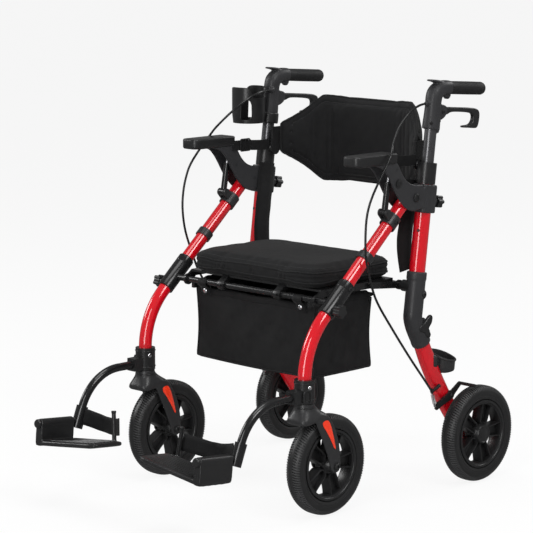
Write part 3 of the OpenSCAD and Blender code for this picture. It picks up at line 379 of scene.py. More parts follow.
def roundSection(r, sides=12):
    return [(r * math.cos(t), r * math.sin(t)) for t in turns(sides)]


def softBox(w, h, power=0.35, sides=20):  # rounded rectangle, w by h
    out = []
    for t in turns(sides):
        c, s = math.cos(t), math.sin(t)
        out.append((w / 2 * math.copysign(abs(c) ** power, c), h / 2 * math.copysign(abs(s) ** power, s)))
    return out


def tube(points, r, sides=12, loop=False, up=(0, 0, 1)):  # r is one radius, or one for each point
    radius = r.__getitem__ if isinstance(r, (tuple, list)) else lambda i: r
    return loft(sweep(points, lambda i: roundSection(radius(i), sides), loop, up), loop=loop)


def plate(outline, x0, x1, edge=2.0):  # side-view outline with rounded rims
    n = len(outline)
    area = sum(outline[i][0] * outline[(i + 1) % n][1] - outline[(i + 1) % n][0] * outline[i][1] for i in range(n))
    turn = 1 if area > 0 else -1

    def inset(d):
        out = []
        for i in range(n):
            a, b, c = Vector(outline[i - 1]), Vector(outline[i]), Vector(outline[(i + 1) % n])
            t = (c - a).normalized()
            out.append(b + Vector((-t.y, t.x)) * d * turn)
        return out
    rings = []
    small = edge * 0.3
    for d, x in ((edge, x0), (small, x0 + small), (0, x0 + edge), (0, x1 - edge), (small, x1 - small), (edge, x1)):
        rings.append([Vector((x, p.x, p.y)) for p in inset(d)])
    return loft(rings)


def ringShape(profile, place, segments=96):  # profile of (along x, radius) turned about x
    return loft([[Vector((place[0] + x, place[1] + r * math.cos(t), place[2] + r * math.sin(t))) for x, r in profile]
                 for t in turns(segments)], loop=True)


def discs(place, rows, sides):  # closed turned form about x, from rows of (along x, radius)
    return loft([[Vector((place[0] + x, place[1] + r * math.cos(t), place[2] + r * math.sin(t))) for t in turns(sides)]
                 for x, r in rows])


def knob(rows):  # small turned form about z, from rows of (z, radius)
    return loft([[Vector((r * math.cos(t), r * math.sin(t), z)) for t in turns(20)] for z, r in rows])


def boxBar(x, rows, power, sides):  # soft box sections along y, from rows of (y, z, width, height)
    return loft([[Vector((x + a, y, z + b)) for a, b in softBox(w, h, power, sides)] for y, z, w, h in rows])


def outlineOf(pairs):  # smooth closed side-view outline
    return [(p.x, p.y) for p in curvePoints([Vector((y, z, 0)) for y, z in pairs], 3, True)]


def sideLine(pairs, x):
    return [Vector((x, y, z)) for y, z in pairs]


def applied(piece):
    mesh = bpy.data.meshes.new_from_object(piece.evaluated_get(bpy.context.evaluated_depsgraph_get()))
    piece.modifiers.clear()
    piece.data = mesh
    return piece


def mould(name, shape, material, voxel=1.8, rounds=4):  # one moulded skin over overlapping shapes
    piece = addMesh(name, *shape, material, sharp=0)
    skin = piece.modifiers.new("skin", "REMESH")
    skin.mode, skin.voxel_size, skin.use_smooth_shade = "VOXEL", voxel * mm, True
    soft = piece.modifiers.new("soft", "SMOOTH")
    soft.factor, soft.iterations = 0.5, rounds
    coatWith(applied(piece), material)
    piece.data.shade_smooth()
    return piece


def walled(piece, thick):
    wall = piece.modifiers.new("wall", "SOLIDIFY")
    wall.thickness, wall.offset = thick * mm, -1.0


def finer(piece):
    fine = piece.modifiers.new("fine", "SUBSURF")
    fine.levels = fine.render_levels = 1
    applied(piece)
    piece.data.shade_smooth()
    return piece


def mirrored(piece, name):
    mesh = piece.data.copy()
    for v in mesh.vertices:
        v.co.x = -v.co.x
    mesh.flip_normals()
    twin = bpy.data.objects.new(name, mesh)
    scene.collection.objects.link(twin)
    return twin


def clothMap(piece):  # map in metres, laid on by the way each face looks
    mesh = piece.data
    layer = mesh.uv_layers.get("cloth") or mesh.uv_layers.new(name="cloth")
    for face in mesh.polygons:
        n = face.normal
        drop = max(range(3), key=lambda i: abs(n[i]))
        a, b = [i for i in range(3) if i != drop]
        for loop in face.loop_indices:
            co = mesh.vertices[mesh.loops[loop].vertex_index].co
            layer.data[loop].uv = (co[a], co[b])
    return piece


def place(piece, body, slot, *stands):
    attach(piece, body)
    if stands:
        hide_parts(*stands)
    return piece


def pairOf(piece, body, slot, *stands):  # left piece and its mirror on the right
    twin = mirrored(piece, piece.name.replace("left", "right"))
    other = lambda word: word.replace("left", "right")
    place(piece, body, slot, *stands)
    place(twin, other(body), slot, *[other(s) for s in stands if other(s) != s])
    return piece, twin


# geometry-node trees: pieces round a ring, and pieces along a row of points
def putPieces(tree, first, last, points, turn):  # instances on the points, made real, with the finish on them
    info, put, real, coat = (tree.nodes.new("GeometryNode" + n)
                             for n in ("ObjectInfo", "InstanceOnPoints", "RealizeInstances", "SetMaterial"))
    linkAll(tree, (first.outputs["Piece"], info.inputs["Object"]), (points, put.inputs["Points"]),
            (info.outputs["Geometry"], put.inputs["Instance"]), (turn, put.inputs["Rotation"]),
            (put.outputs[0], real.inputs[0]), (real.outputs[0], coat.inputs["Geometry"]),
            (first.outputs["Finish"], coat.inputs["Material"]), (coat.outputs[0], last.inputs["Geometry"]))
    return put


def makeRingTree():
    tree = bpy.data.node_groups.new("piecesRoundRing", "GeometryNodeTree")
    first, last = groupSockets(tree, {"Geometry": "Geometry", "Piece": "Object", "Count": "Int", "Radius": "Float",
                                      "Finish": "Material"},
                               {"Geometry": "Geometry"})
    spots, index = tree.nodes.new("GeometryNodePoints"), tree.nodes.new("GeometryNodeInputIndex")
    angle = mathNode(tree, "MULTIPLY", mathNode(tree, "DIVIDE", index.outputs[0], first.outputs["Count"]), 2 * math.pi)
    at, turn = tree.nodes.new("ShaderNodeCombineXYZ"), tree.nodes.new("ShaderNodeCombineXYZ")
    for axis, wave in (("X", "COSINE"), ("Y", "SINE")):
        tree.links.new(mathNode(tree, "MULTIPLY", mathNode(tree, wave, angle), first.outputs["Radius"]),
                       at.inputs[axis])
    linkAll(tree, (angle, turn.inputs["Z"]), (first.outputs["Count"], spots.inputs["Count"]),
            (at.outputs[0], spots.inputs["Position"]))
    putPieces(tree, first, last, spots.outputs[0], turn.outputs[0])
    return tree


def makeRowTree():  # each point carries "aim", the way the piece's own z looks, and "run", its x
    tree = bpy.data.node_groups.new("piecesOnPoints", "GeometryNodeTree")
    first, last = groupSockets(tree, {"Geometry": "Geometry", "Piece": "Object", "Size": "Float", "Finish": "Material"},
                               {"Geometry": "Geometry"})
    aim, run = (newNode(tree, "GeometryNodeInputNamedAttribute", {"Name": name}) for name in ("aim", "run"))
    for node in (aim, run):
        node.data_type = "FLOAT_VECTOR"
    one, two = tree.nodes.new("FunctionNodeAlignEulerToVector"), tree.nodes.new("FunctionNodeAlignEulerToVector")
    one.axis, two.axis, two.pivot_axis = "Z", "X", "Z"
    linkAll(tree, (aim.outputs["Attribute"], one.inputs["Vector"]), (one.outputs[0], two.inputs["Rotation"]),
            (run.outputs["Attribute"], two.inputs["Vector"]))
    put = putPieces(tree, first, last, first.outputs["Geometry"], two.outputs[0])
    tree.links.new(first.outputs["Size"], put.inputs["Scale"])
    return tree


ringTree, rowTree = makeRingTree(), makeRowTree()


def runTree(piece, tree, values):
    step = piece.modifiers.new("nodes", "NODES")
    step.node_group = tree
    for item in tree.interface.items_tree:
        if item.item_type == "SOCKET" and item.in_out == "INPUT" and item.name in values:
            step[item.identifier] = values[item.name]
    bpy.context.view_layer.update()
    applied(piece)
    piece.data.shade_smooth()
    piece.data.set_sharp_from_angle(angle=math.radians(35))
    return piece


def ringOf(name, part, count, radius, material, at):  # ring in the wheel's plane: part's x is outward, z along the axle
    piece = addMesh(name, [(0, 0, 0)], [], material)
    runTree(piece, ringTree, {"Piece": part, "Count": count, "Radius": radius * mm, "Finish": material})
    piece.data.transform(Matrix(((0, 0, 1, at[0] * mm), (1, 0, 0, at[1] * mm), (0, 1, 0, at[2] * mm), (0, 0, 0, 1))))
    return piece


def rowOf(name, part, points, aims, runs, size, material):
    piece = addMesh(name, points, [], material)
    for label, values in (("aim", aims), ("run", runs)):
        layer = piece.data.attributes.new(label, "FLOAT_VECTOR", "POINT")
        for i, v in enumerate(values):
            layer.data[i].vector = v
    return runTree(piece, rowTree, {"Piece": part, "Size": size, "Finish": material})


def fused(name, *pieces):  # several pieces into one
    work = bmesh.new()
    mats = []
    for piece in pieces:
        base = len(work.faces)
        work.from_mesh(piece.data)
        work.faces.ensure_lookup_table()
        slots = list(piece.data.materials)
        for m in slots:
            if m not in mats:
                mats.append(m)
        for face in work.faces[base:]:
            face.material_index = mats.index(slots[min(face.material_index, len(slots) - 1)])
    mesh = bpy.data.meshes.new(name)
    work.to_mesh(mesh)
    work.free()
    for m in mats:
        mesh.materials.append(m)
    for piece in pieces:
        bpy.data.objects.remove(piece)
    out = bpy.data.objects.new(name, mesh)
    scene.collection.objects.link(out)
    return out


def bothSides(name, piece, body, slot, *stands):  # a left shape and its mirror as one piece
    return place(fused(name, piece, mirrored(piece, "twin")), body, slot, *stands)


partsBin = []


def spare(name, shape, material):  # a shape for the trees to repeat, taken away at the end
    piece = addMesh(name, *shape, material)
    partsBin.append(piece)
    return piece


# frame lines shared by the pieces, as in the solids
half = 229.0
lean, drop = math.radians(7.5), math.radians(41.4)
postDir, postBack = Vector((0, math.sin(lean), math.cos(lean))), Vector((0, math.cos(lean), -math.sin(lean)))
tubeDir, tubeUp = Vector((0, -math.cos(drop), -math.sin(drop))), Vector((0, -math.sin(drop), math.cos(drop)))
onPost = lambda s: Vector((half, 61, 460)) + s * postDir
pivotS = (611 - 460) / math.cos(lean)
pivot = onPost(pivotS) - Vector((0, 48, 0))
onTube = lambda t: pivot + 4 * tubeUp + t * tubeDir
axleZ = 101.5

# wheels: tyre with shoulder ribs, rim with channel spokes, hub
wheelSpec = {
    "blocks": 118, "blockRadius": 100.2, "spokes": 5, "caster": (half, -209.0), "rear": (269.5, 209.0),
    "tyreSeat": [(9, 72.0), (-9, 72.0)],
    "tyre": [(-13.0, 72.2), (-15.8, 73.4), (-17.6, 76.6), (-18.5, 79.0), (-18.0, 80.0), (-18.6, 81.2), (-18.9, 86),
             (-18.2, 90.2), (-16.6, 93.2), (-14.2, 95.6), (-11.2, 97.4), (-8.0, 98.4), (-4.8, 98.8), (-4.0, 100.7),
             (0, 101.1)],
    "rib": [(4.4, -3.4, 0.9, 0.0), (8.4, -3.6, 0.4, 1.0), (12.4, -5.2, -1.2, 2.0), (15.2, -7.6, -3.4, 2.6),
            (17.2, -10.4, -6.4, 2.9)],
    "web": [(14, 17), (30, 20), (44, 22), (57, 26), (66, 33)], "arms": [(66, 16.5), (56, 13.4), (42, 11.6)],
    "rim": [(-14, 71.8), (-16.4, 71.4), (-17.2, 70.2), (-17.2, 66.4), (-16.4, 65.4), (-14.4, 64.8), (-13.2, 62.4),
            (-10, 61.6)],
    "casterHub": [(-20.8, 5.2), (-20.8, 10.5), (-19, 12), (-12, 14.5), (-11, 17), (11, 17), (12, 14.5), (19, 12),
                  (20.8, 10.5), (20.8, 5.2)],
    "rearHub": [(-20.6, 6.2), (-20.6, 15), (-18, 17), (-12, 19), (-11, 21.5), (11, 21.5), (12.6, 20.4), (18, 19.8),
                (20, 18.6), (20.4, 16.6), (19.6, 15.8), (19.6, 11), (20.2, 10), (20.2, 0.4), (12.4, 0.4),
                (12.4, 6.2)]}


def makeBlock():  # a pair of slanted ribs, one on each shoulder
    edge = lambda low, high: ((low, -1.5), (high - 0.4, -1.3), (high, -0.9), (high, 0.9), (high - 0.4, 1.3), (low, 1.5))
    return joined(*[loft([[Vector((up, slant + wide, side * out)) for up, wide in edge(low, high)]
                          for out, low, high, slant in wheelSpec["rib"]]) for side in (-1, 1)])


def makeSpoke():  # channel spoke: raised U rib, open to the rim, round a thin web
    bend = [Vector((27.5 - 9.5 * math.cos(a), 10.5 * math.sin(a), 0))
            for a in [math.pi * (k / 10 - 0.5) for k in range(11)]]
    arms = wheelSpec["arms"]
    path = curvePoints([Vector((x, -y, 0)) for x, y in arms] + bend + [Vector((x, y, 0)) for x, y in arms[::-1]], 2)
    rib = loft(sweep(path, lambda i: softBox(3.8, 25, 0.45, 12)))
    return joined(rib, loft([[Vector((x, y, z)) for y, z in softBox(w, 5, 0.4, 12)] for x, w in wheelSpec["web"]]))


# tread ribs in the lighter rubber, a painted highlight on their tops
blockShape = spare("treadBlock", makeBlock(), finish["treadRubber"])
spokeShape = spare("channelSpoke", makeSpoke(), finish["blackPlastic"])


def makeWheel(side, kind):
    sign = 1 if side == "left" else -1
    at = (sign * wheelSpec[kind][0], wheelSpec[kind][1], axleZ)
    line, rim = wheelSpec["tyre"], wheelSpec["rim"]
    profile = line + [(-x, r) for x, r in line[-2::-1]] + wheelSpec["tyreSeat"]
    tyre = addMesh("tyreSkin", *ringShape(profile, at, 128), finish["tyreRubber"])
    # ribs carry the lighter rubber, a painted highlight against the darker skin
    tread = ringOf("tyreTread", blockShape, wheelSpec["blocks"], wheelSpec["blockRadius"], finish["treadRubber"], at)
    body, black = f"{side}_{kind}_wheel", finish["blackPlastic"]
    place(fused(side + kind.title() + "Tyre", tyre, tread), body, "tyre_rubber", f"{side}_{kind}_tyre")
    band = addMesh("rimBand", *ringShape(rim + [(-x, r) for x, r in rim[::-1]], at), black)
    spokes = ringOf("rimSpokes", spokeShape, wheelSpec["spokes"], 0, black, at)
    hubLine = wheelSpec[kind + "Hub"] if kind == "caster" else [(sign * x, r) for x, r in wheelSpec[kind + "Hub"]]
    hub = addMesh("rimHub", *ringShape(hubLine, at), black)
    place(fused(side + kind.title() + "Rim", band, spokes, hub), body, "dark_plastic", f"{side}_{kind}_rim")


for side in ("left", "right"):
    makeWheel(side, "caster")
    makeWheel(side, "rear")
print("wheels done")

# caster fork: neck, shoulders and two blades in one moulding, with a reflector on each blade
forkSpec = {
    "bladeIn": 22.2, "bladeOut": 28.4, "edge": 2.4, "voxel": 1.6, "rounds": 15,
    "boss": [(0, 13.4), (3.4, 13), (4.4, 11.6)],
    "blade": [(-266, 206), (-262, 192), (-252, 172), (-240, 146), (-228, 118), (-223, 101), (-218, 91),
              (-209, 87.5), (-200, 91), (-195, 101), (-195, 122), (-199, 148), (-208, 174), (-221, 197),
              (-232, 208), (-250, 212)],
    "crown": [(236, 38, -289, -251, 1.0, 0), (229, 39, -289.5, -250.5, 0.95, 0.02),
              (222, 43, -291.5, -245, 0.8, 0.05), (214, 50, -295.5, -237, 0.62, 0.09),
              (207, 55.4, -299.5, -230, 0.46, 0.13), (201, 56.8, -299, -225, 0.36, 0.15),
              (197, 56.8, -294, -223, 0.34, 0.16)],
    "reflector": [(-247, 196), (-237, 199), (-229, 194), (-221, 176), (-214, 152), (-211, 138), (-215, 140),
                  (-224, 156), (-237, 176), (-246, 188)],
    "dome": [(-1.0, 1.0), (0.5, 1.0), (1.3, 0.84), (1.7, 0.5), (1.8, 0.12)]}


def makeFork():
    outline = outlineOf(forkSpec["blade"])
    low, high, edge = forkSpec["bladeIn"], forkSpec["bladeOut"], forkSpec["edge"]
    shapes = [plate(outline, half - high, half - low, edge), plate(outline, half + low, half + high, edge)]
    crown = []
    for z, w, y0, y1, power, slant in forkSpec["crown"]:
        mid = (y0 + y1) / 2
        crown.append([Vector((half + a, mid + b, z + slant * (mid + b + 270)))
                      for a, b in softBox(w, y1 - y0, power, 40)])
    shapes.append(loft(crown))
    for x in (-1, 1):
        shapes.append(discs((half, wheelSpec["caster"][1], axleZ),
                            [(x * (high - 3 + d), r) for d, r in forkSpec["boss"]], 24))
    return joined(*shapes)


def makeReflector(out):  # teardrop, wide at the top, domed
    smooth = curvePoints([Vector((y, z, 0)) for y, z in forkSpec["reflector"]], 3, True)
    mid = sum(smooth, Vector()) / len(smooth)
    return loft([[Vector((half + out * (forkSpec["bladeOut"] + lift), mid.x + (p.x - mid.x) * shrink,
                          mid.y + (p.y - mid.y) * shrink))
                  for p in smooth] for lift, shrink in forkSpec["dome"]])


fork = mould("leftFork", makeFork(), finish["forkPlastic"], forkSpec["voxel"], forkSpec["rounds"])
pairOf(fork, "left_caster", "dark_plastic", "left_caster_fork")
for out, label in ((1, "Outer"), (-1, "Inner")):
    pairOf(addMesh("leftReflector" + label, *makeReflector(out), finish["reflector"]), "left_caster", "red_paint")
print("forks done")

# arm bracket: two plates and the armrest beam in one moulding, the post clamp in a second one
bracketSpec = {
    "voxel": 1.7, "rounds": 3, "plateIn": 14.3, "plateT": 5, "edge": 1.8, "webs": (-19.2, 14.4), "webAt": (8, 40),
    "boss": -12,
    "line": [(-122, 74), (-121, 85), (-78, 86), (-66, 84), (-57, 76), (-49, 65), (-40, 51), (-28, 38), (-12, 29),
             (10, 25), (24, 21), (24, -14), (17, -22), (4, -26.5), (-12, -26), (-29, -19), (-43, -7), (-56, 8),
             (-66, 23), (-76, 39), (-87, 54), (-100, 66)],
    "beam": [(-131.5, 690.4, 30, 8), (-130, 690.4, 35, 12), (-118, 690.4, 38.4, 12.8), (-60, 690.4, 38.4, 12.8),
             (-38, 690.4, 38.4, 12.6)],
    "clamp": [(-36, 39, 40), (-34, 40.6, 42), (18, 40.6, 42), (21.6, 39, 40)]}


def makeBracket():
    line = outlineOf([(pivot.y + a, pivot.z + b) for a, b in bracketSpec["line"]])
    thick = bracketSpec["plateT"]
    shapes = [plate(line, x, x + thick, bracketSpec["edge"]) for x in (half - bracketSpec["plateIn"] - thick,
            half + bracketSpec["plateIn"])]
    for x in bracketSpec["webs"]:
        shapes.append(boxBar(half + x + 2.4, [(pivot.y + d, 608, 4.8, 44) for d in bracketSpec["webAt"]], 0.4, 16))
    return joined(*shapes, boxBar(half, bracketSpec["beam"], 0.4, 24))


def makeClamp():
    clamp = [[onPost(pivotS + s) + Vector((a, 0, 0)) + (b - 1) * postBack for a, b in softBox(w, l, 0.42, 28)]
             for s, w, l in bracketSpec["clamp"]]
    boss = onPost(pivotS + bracketSpec["boss"])
    return joined(loft(clamp), tube([boss + d * postBack for d in (14, 26, 33.4)], (10, 9.4, 8.8), 20))


halves = [mould(name, shape, finish["slatePlastic"], bracketSpec["voxel"], bracketSpec["rounds"])
          for name, shape in (("leftPlates", makeBracket()), ("leftClampBlock", makeClamp()))]
bothSides("armBrackets", fused("leftBracket", *halves), "rear_frame", "grey_plastic", "arm_brackets")

padSpec = {
    "corner": 13.0, "rearCorner": 5.0, "front": -145.0, "rear": -26.0, "width": 45.0, "low": 685.4, "high": 706.4,
    "run": 62.0}


def makeArmPad():
    w, y0, y1, low, high = padSpec["width"] / 2, padSpec["front"], padSpec["rear"], padSpec["low"], padSpec["high"]
    big, small = padSpec["corner"], padSpec["rearCorner"]
    rim = []
    for x, y, turn, r in ((-w + big, y0 + big, 180, big), (w - big, y0 + big, 270, big),
                          (w - small, y1 - small, 0, small), (-w + small, y1 - small, 90, small)):
        rim += [(x + r * math.cos(a), y + r * math.sin(a)) for a in [math.radians(turn + 15 * k) for k in range(7)]]
    mid = (y0 + y1) / 2
    levels = ((low, 4), (low + 0.5, 1.8), (low + 2, 0.5), (low + 4, 0), (low + 11, 0), (high - 3, 0), (high - 1.3, 0.5),
              (high - 0.4, 1.6), (high, 3.6), (high, 8))
    return loft([[Vector((half + x * (w - inset) / w, mid + (y - mid) * (1 - inset / padSpec["run"]), z))
                  for x, y in rim] for z, inset in levels])


bothSides("armPads", addMesh("leftArmPad", *makeArmPad(), finish["blackPlastic"], sharp=50), "rear_frame",
          "black_plastic", "armrest_pads")
print("brackets done")

# handle: swept housing with skirt and thumb horn, grip with end cap, hooked lever
housingSpec = {
    "voxel": 1.5, "rounds": 3, "post": (287, 300, 318, 336, 348),
    "bend": [(110.5, 815), (120, 822), (134, 825), (151, 824.2)],
    "rise": [17.6, 17.2, 16.2, 15.8, 16.2, 16.6, 16.2, 15.4, 14.8],
    "skirt": 17.4, "cheekAt": 8.8, "cheekHalf": 2.2, "nubHalf": 6,
    "stop": {"z": 796, "deep": 5, "root": (98, 796.5), "draw": 0.7, "radii": (4.2, 5.2, 6)},
    "horn": [(90, 842.6, 9, 3), (94, 842.4, 17, 4), (104, 841, 22, 5), (114, 839, 22, 7), (126, 836, 20, 9),
             (138, 833, 16, 9)],
    "cheek": [(112, 790), (124, 792), (136, 787), (137, 776), (130, 766), (114, 762)],
    "nub": [(128, 818), (152, 814), (153, 806), (146, 801), (140, 806), (130, 808)]}


def makeHousing():
    steps, rise, wide = 4, housingSpec["rise"], housingSpec["skirt"]
    path = curvePoints([onPost(s) for s in housingSpec["post"]] + sideLine(housingSpec["bend"], half), steps)

    def size(i):
        k = min(i / steps, len(rise) - 1.001)
        a = int(k)
        return 2 * (rise[a] + (rise[a + 1] - rise[a]) * (k - a))
    shapes = [loft(sweep(path, lambda i: softBox(size(i), size(i), 0.86, 24), up=(1, 0, 0)))]
    shapes.append(loft([[onPost(s) + Vector((wide * math.cos(a), 0, 0)) + wide * math.sin(a) * postBack
                         - hang * max(0, math.sin(a)) ** 1.4 * postDir for a in turns(24)]
                         for s, hang in ((286, 9), (294, 0))]))
    shapes.append(boxBar(half, housingSpec["horn"], 0.6, 16))
    for x in (-housingSpec["cheekAt"], housingSpec["cheekAt"]):  # cheeks that carry the lever
        shapes.append(plate(outlineOf(housingSpec["cheek"]), half + x - housingSpec["cheekHalf"],
                            half + x + housingSpec["cheekHalf"], 1.2))
    return shapes + [plate(outlineOf(housingSpec["nub"]), half - housingSpec["nubHalf"], half + housingSpec["nubHalf"],
                           1.6)]


def makeBoss(out, y):  # cable stop on the housing's front
    stop = housingSpec["stop"]
    front, back = (Vector((half - out, y + d, stop["z"])) for d in (0, stop["deep"]))
    return tube([front, back, Vector((half - out * stop["draw"], *stop["root"]))], stop["radii"], 16)


for side, sign, out, y in (("left", 1, 0, 80.2), ("right", -1, 14, 84.7)):
    verts, faces = joined(*makeHousing(), makeBoss(out, y))
    shape = ([Vector((sign * v[0], v[1], v[2])) for v in verts], faces)
    housing = mould(side + "Housing", shape, finish["slatePlastic"], housingSpec["voxel"], housingSpec["rounds"])
    place(housing, side + "_handle", "grey_plastic", side + "_handle_housing")

gripSpec = {
    "start": (149.5, 824.4), "fall": 4.3, "ribbed": 90.0, "ribs": 26, "rib": 13.4, "groove": 12.95,
    "collar": [(0.3, 12.6), (1.0, 13.6), (5, 13.9), (6.2, 13.0)],
    "cap": [(99, 13.5), (103, 13.4), (107, 12.2), (110, 9.6), (111.6, 6.0), (112, 2.0)]}


def makeGrip():
    fall, n = math.radians(gripSpec["fall"]), gripSpec["ribs"]
    along, start = Vector((0, math.cos(fall), -math.sin(fall))), Vector((half, *gripSpec["start"]))
    spots, step = list(gripSpec["collar"]), gripSpec["ribbed"] / n
    for k in range(n):
        d, r = 7 + gripSpec["ribbed"] * k / n, gripSpec["rib"] + 0.15 * math.sin(math.pi * k / n)
        spots += [(d + step * 0.15, r), (d + step * 0.6, r), (d + step * 0.8, gripSpec["groove"])]
    spots += gripSpec["cap"]
    return tube([start + d * along for d, r in spots], [r for d, r in spots], 28, up=(1, 0, 0))


pairOf(addMesh("leftGrip", *makeGrip(), finish["gripFoam"], sharp=60), "left_handle", "grip_rubber", "left_grip")

leverSpec = {
    "pin": (322, 20.3), "half": 5.6, "edge": 2.2, "voxel": 1.1, "rounds": 2,
    "line": [(-6.5, 0), (-4, 5.6), (4, 7.6), (20, 8.6), (60, 5.4), (98, 2.0), (113, -0.6), (121, -4.5),
             (124.4, -12), (123.4, -24), (120.6, -34), (116, -40.4), (108, -41), (90, -39), (74, -37.4),
             (72.4, -35), (75, -33.2), (92, -32.6), (101, -28), (105, -20), (104, -12.6), (96, -8.6), (70, -5),
             (36, -2.6), (22, -6.4), (8, -7), (-4, -5.6)]}


def makeLever():
    pin = onPost(leverSpec["pin"][0]) + leverSpec["pin"][1] * postBack
    line = outlineOf([(pin.y + a, pin.z + b) for a, b in leverSpec["line"]])
    return plate(line, half - leverSpec["half"], half + leverSpec["half"], leverSpec["edge"])


lever = mould("leftLever", makeLever(), finish["blackPlastic"], leverSpec["voxel"], leverSpec["rounds"])
pairOf(lever, "left_brake_lever", "dark_plastic", "left_brake_lever")
print("handles done")

# footplates: ribbed tread, hinge block, strap post
footSpec = {
    "hinge": (-467.58, 157.67), "start": 5.8, "toeUp": 5.5, "tilt": 6.9, "low": -34, "ribs": 9, "post": (-138, 6),
    "voxel": 1.6, "rounds": 3,
    "deck": [(-166, 14, 77, -1.5, -6), (-162, 8, 83, -0.3, -9), (-150, 3, 86.5, 0, -10.6), (-60, 0.4, 87, 0, -11),
             (-6, 0.4, 87, 0, -11), (8, 0.4, 87, 0, -11)],
    "block": [(0.6, 17, 48), (2, 19.6, 51), (85, 19.6, 51), (86.8, 17, 48)],
    "sleeve": [(0.4, 9), (1.6, 10), (85.6, 10), (86.8, 9)],
    "postRows": [(-4, 5.4), (2, 4.6), (54, 4.4), (57, 5.6), (59.5, 5.2)],
    "ribRows": [(-150, 0.6), (-148, 1.6), (-24, 1.6), (-22, 0.6)],
    "capAt": (86.9, 88, 91, 93.4, 94.4), "capR": (7, 9.2, 9.2, 7.6, 3)}


def footPlace(x, y, z):  # x inwards from the hinge is negative, y forward, z up, on the turned plate
    toe, start = math.radians(footSpec["toeUp"]), footSpec["start"]
    base = Vector((half, footSpec["hinge"][0] - start * math.cos(toe), footSpec["hinge"][1] + start * math.sin(toe)))
    return base + Vector((x, -y * math.cos(toe) + z * math.sin(toe), y * math.sin(toe) + z * math.cos(toe)))


def tilted(x, y, z):  # on the plate that rises inwards
    t = math.radians(footSpec["tilt"])
    return footPlace(x * math.cos(t) + z * math.sin(t), y, footSpec["low"] - x * math.sin(t) + z * math.cos(t))


def makeFootplate():
    deck = [[tilted(x, (y0 + y1) / 2 + a, (top + low) / 2 + b) for a, b in softBox(y1 - y0, top - low, 0.3, 28)]
            for x, y0, y1, top, low in footSpec["deck"]]
    block = [[footPlace(a, y, -19.5 + b) for a, b in softBox(w, h, 0.45, 24)] for y, w, h in footSpec["block"]]
    sleeve = [[footPlace(r * math.cos(t), y, r * math.sin(t)) for t in turns(24)] for y, r in footSpec["sleeve"]]
    x, y = footSpec["post"]
    post = [[tilted(x + r * math.cos(t), y + r * math.sin(t), z) for t in turns(16)] for z, r in footSpec["postRows"]]
    return joined(*[loft(rings) for rings in (deck, block, sleeve, post)])


def makeTreadRibs():
    spots = [11 + 65 * k / (footSpec["ribs"] - 1) for k in range(footSpec["ribs"])]
    return joined(*[loft([[tilted(x, y + a, 0.35 + b) for a, b in softBox(3.0, t, 0.6, 8)]
                          for x, t in footSpec["ribRows"]]) for y in spots])


footplate = mould("leftFootSkin", makeFootplate(), finish["blackPlastic"], footSpec["voxel"], footSpec["rounds"])
ribs = addMesh("leftFootRibs", *makeTreadRibs(), finish["blackPlastic"])
pairOf(fused("leftFootplate", footplate, ribs), "left_footplate", "dark_plastic", "left_footplate")
cap = tube([footPlace(0, y, 0) for y in footSpec["capAt"]], footSpec["capR"], 24, up=(1, 0, 0))
pairOf(addMesh("leftHingeCap", *cap, finish["blackPlastic"]), "left_footplate", "dark_plastic")
print("footplates done")


# straps, flat webbing along a path
strapEdge = [(a, -0.5) for a in (-0.5, -0.25, 0, 0.25, 0.5)] + [(0.52, 0)] + [(a, 0.5)
        for a in (0.5, 0.25, 0, -0.25, -0.5)] + [(-0.52, 0)]


def makeStrap(path, wide, thick, across, wave=0.0):  # across is the way the width lies, wave the height of its ripples
    rings = []
    for i, p in enumerate(path):
        ahead, behind = path[min(i + 1, len(path) - 1)], path[max(i - 1, 0)]
        along = (Vector(ahead) - Vector(behind)).normalized()
        w = Vector(across).normalized()
        w = (w - along * w.dot(along)).normalized()
        face = along.cross(w)
        fade = 1 - abs(2 * i / (len(path) - 1) - 1)
        lift = lambda a: wave * math.sin(i * 0.9 + a * 3.0) * fade
        rings.append([Vector(p) + w * a * wide + face * (b * thick + lift(a)) for a, b in strapEdge])
    return loft(rings)


strapSpec = {
    "heel": {"sag": 13, "bow": 24, "steps": 28, "rise": 2, "blend": (1, 14), "arm": (-347, 145, 105, 22),
             "clip": (-12.6, 20), "stop": (-138, -1.3)},
    "web": [(207.6, 70, 641), (207.6, 66, 612), (205.4, 60, 580), (203.6, 53, 545), (203.6, 49, 505),
            (207.4, 54, 457)],
    "belt": [(208.4, -33, 685), (208.4, -14, 685), (207.8, 10, 684), (207.2, 36, 682), (207.6, 58, 681),
             (208.3, 76, 682)],
    "buckle": [(-10, 673), (14, 673), (16, 675), (16, 695), (14, 697), (-10, 697), (-12, 695), (-12, 675)],
    "buckleX": 206.2, "bar": [(2, 674), (2, 696)],
    "shape": {"heel": (33.5, 2.2, (0, 0, 1), 0.9), "web": (44, 1.8, (0, 1, -0.05), 0.5),
              "belt": (21, 1.7, (0, 0, 1), 0.3)}}


def heelPath():  # from the footrest arm's end to the plate's strap post
    spec = strapSpec["heel"]
    y, z, reach, angle = spec["arm"]
    turn, fall = math.radians(angle), math.radians(90 - angle)
    end = Vector((half, y - reach * math.cos(turn), z + reach * math.sin(turn)))
    start = end + spec["clip"][1] * Vector((0, -math.cos(fall), -math.sin(fall))) + Vector((spec["clip"][0], 0, 0))
    stop = Vector((half + spec["stop"][0], footSpec["hinge"][0] + spec["stop"][1], footSpec["hinge"][1]))
    out = []
    for u in [i / spec["steps"] for i in range(spec["steps"] + 1)]:
        out.append(Vector((start.x + (stop.x - start.x) * u,
                           start.y + (stop.y - start.y) * u + spec["bow"] * 4 * u * (1 - u),
                           start.z - spec["sag"] * math.sin(math.pi * u) + spec["rise"] * u)))
    return out


def strapPiece(name, path, kind):
    return clothMap(addMesh(name, *makeStrap(path, *strapSpec["shape"][kind]), finish["strapWeb"], sharp=60))


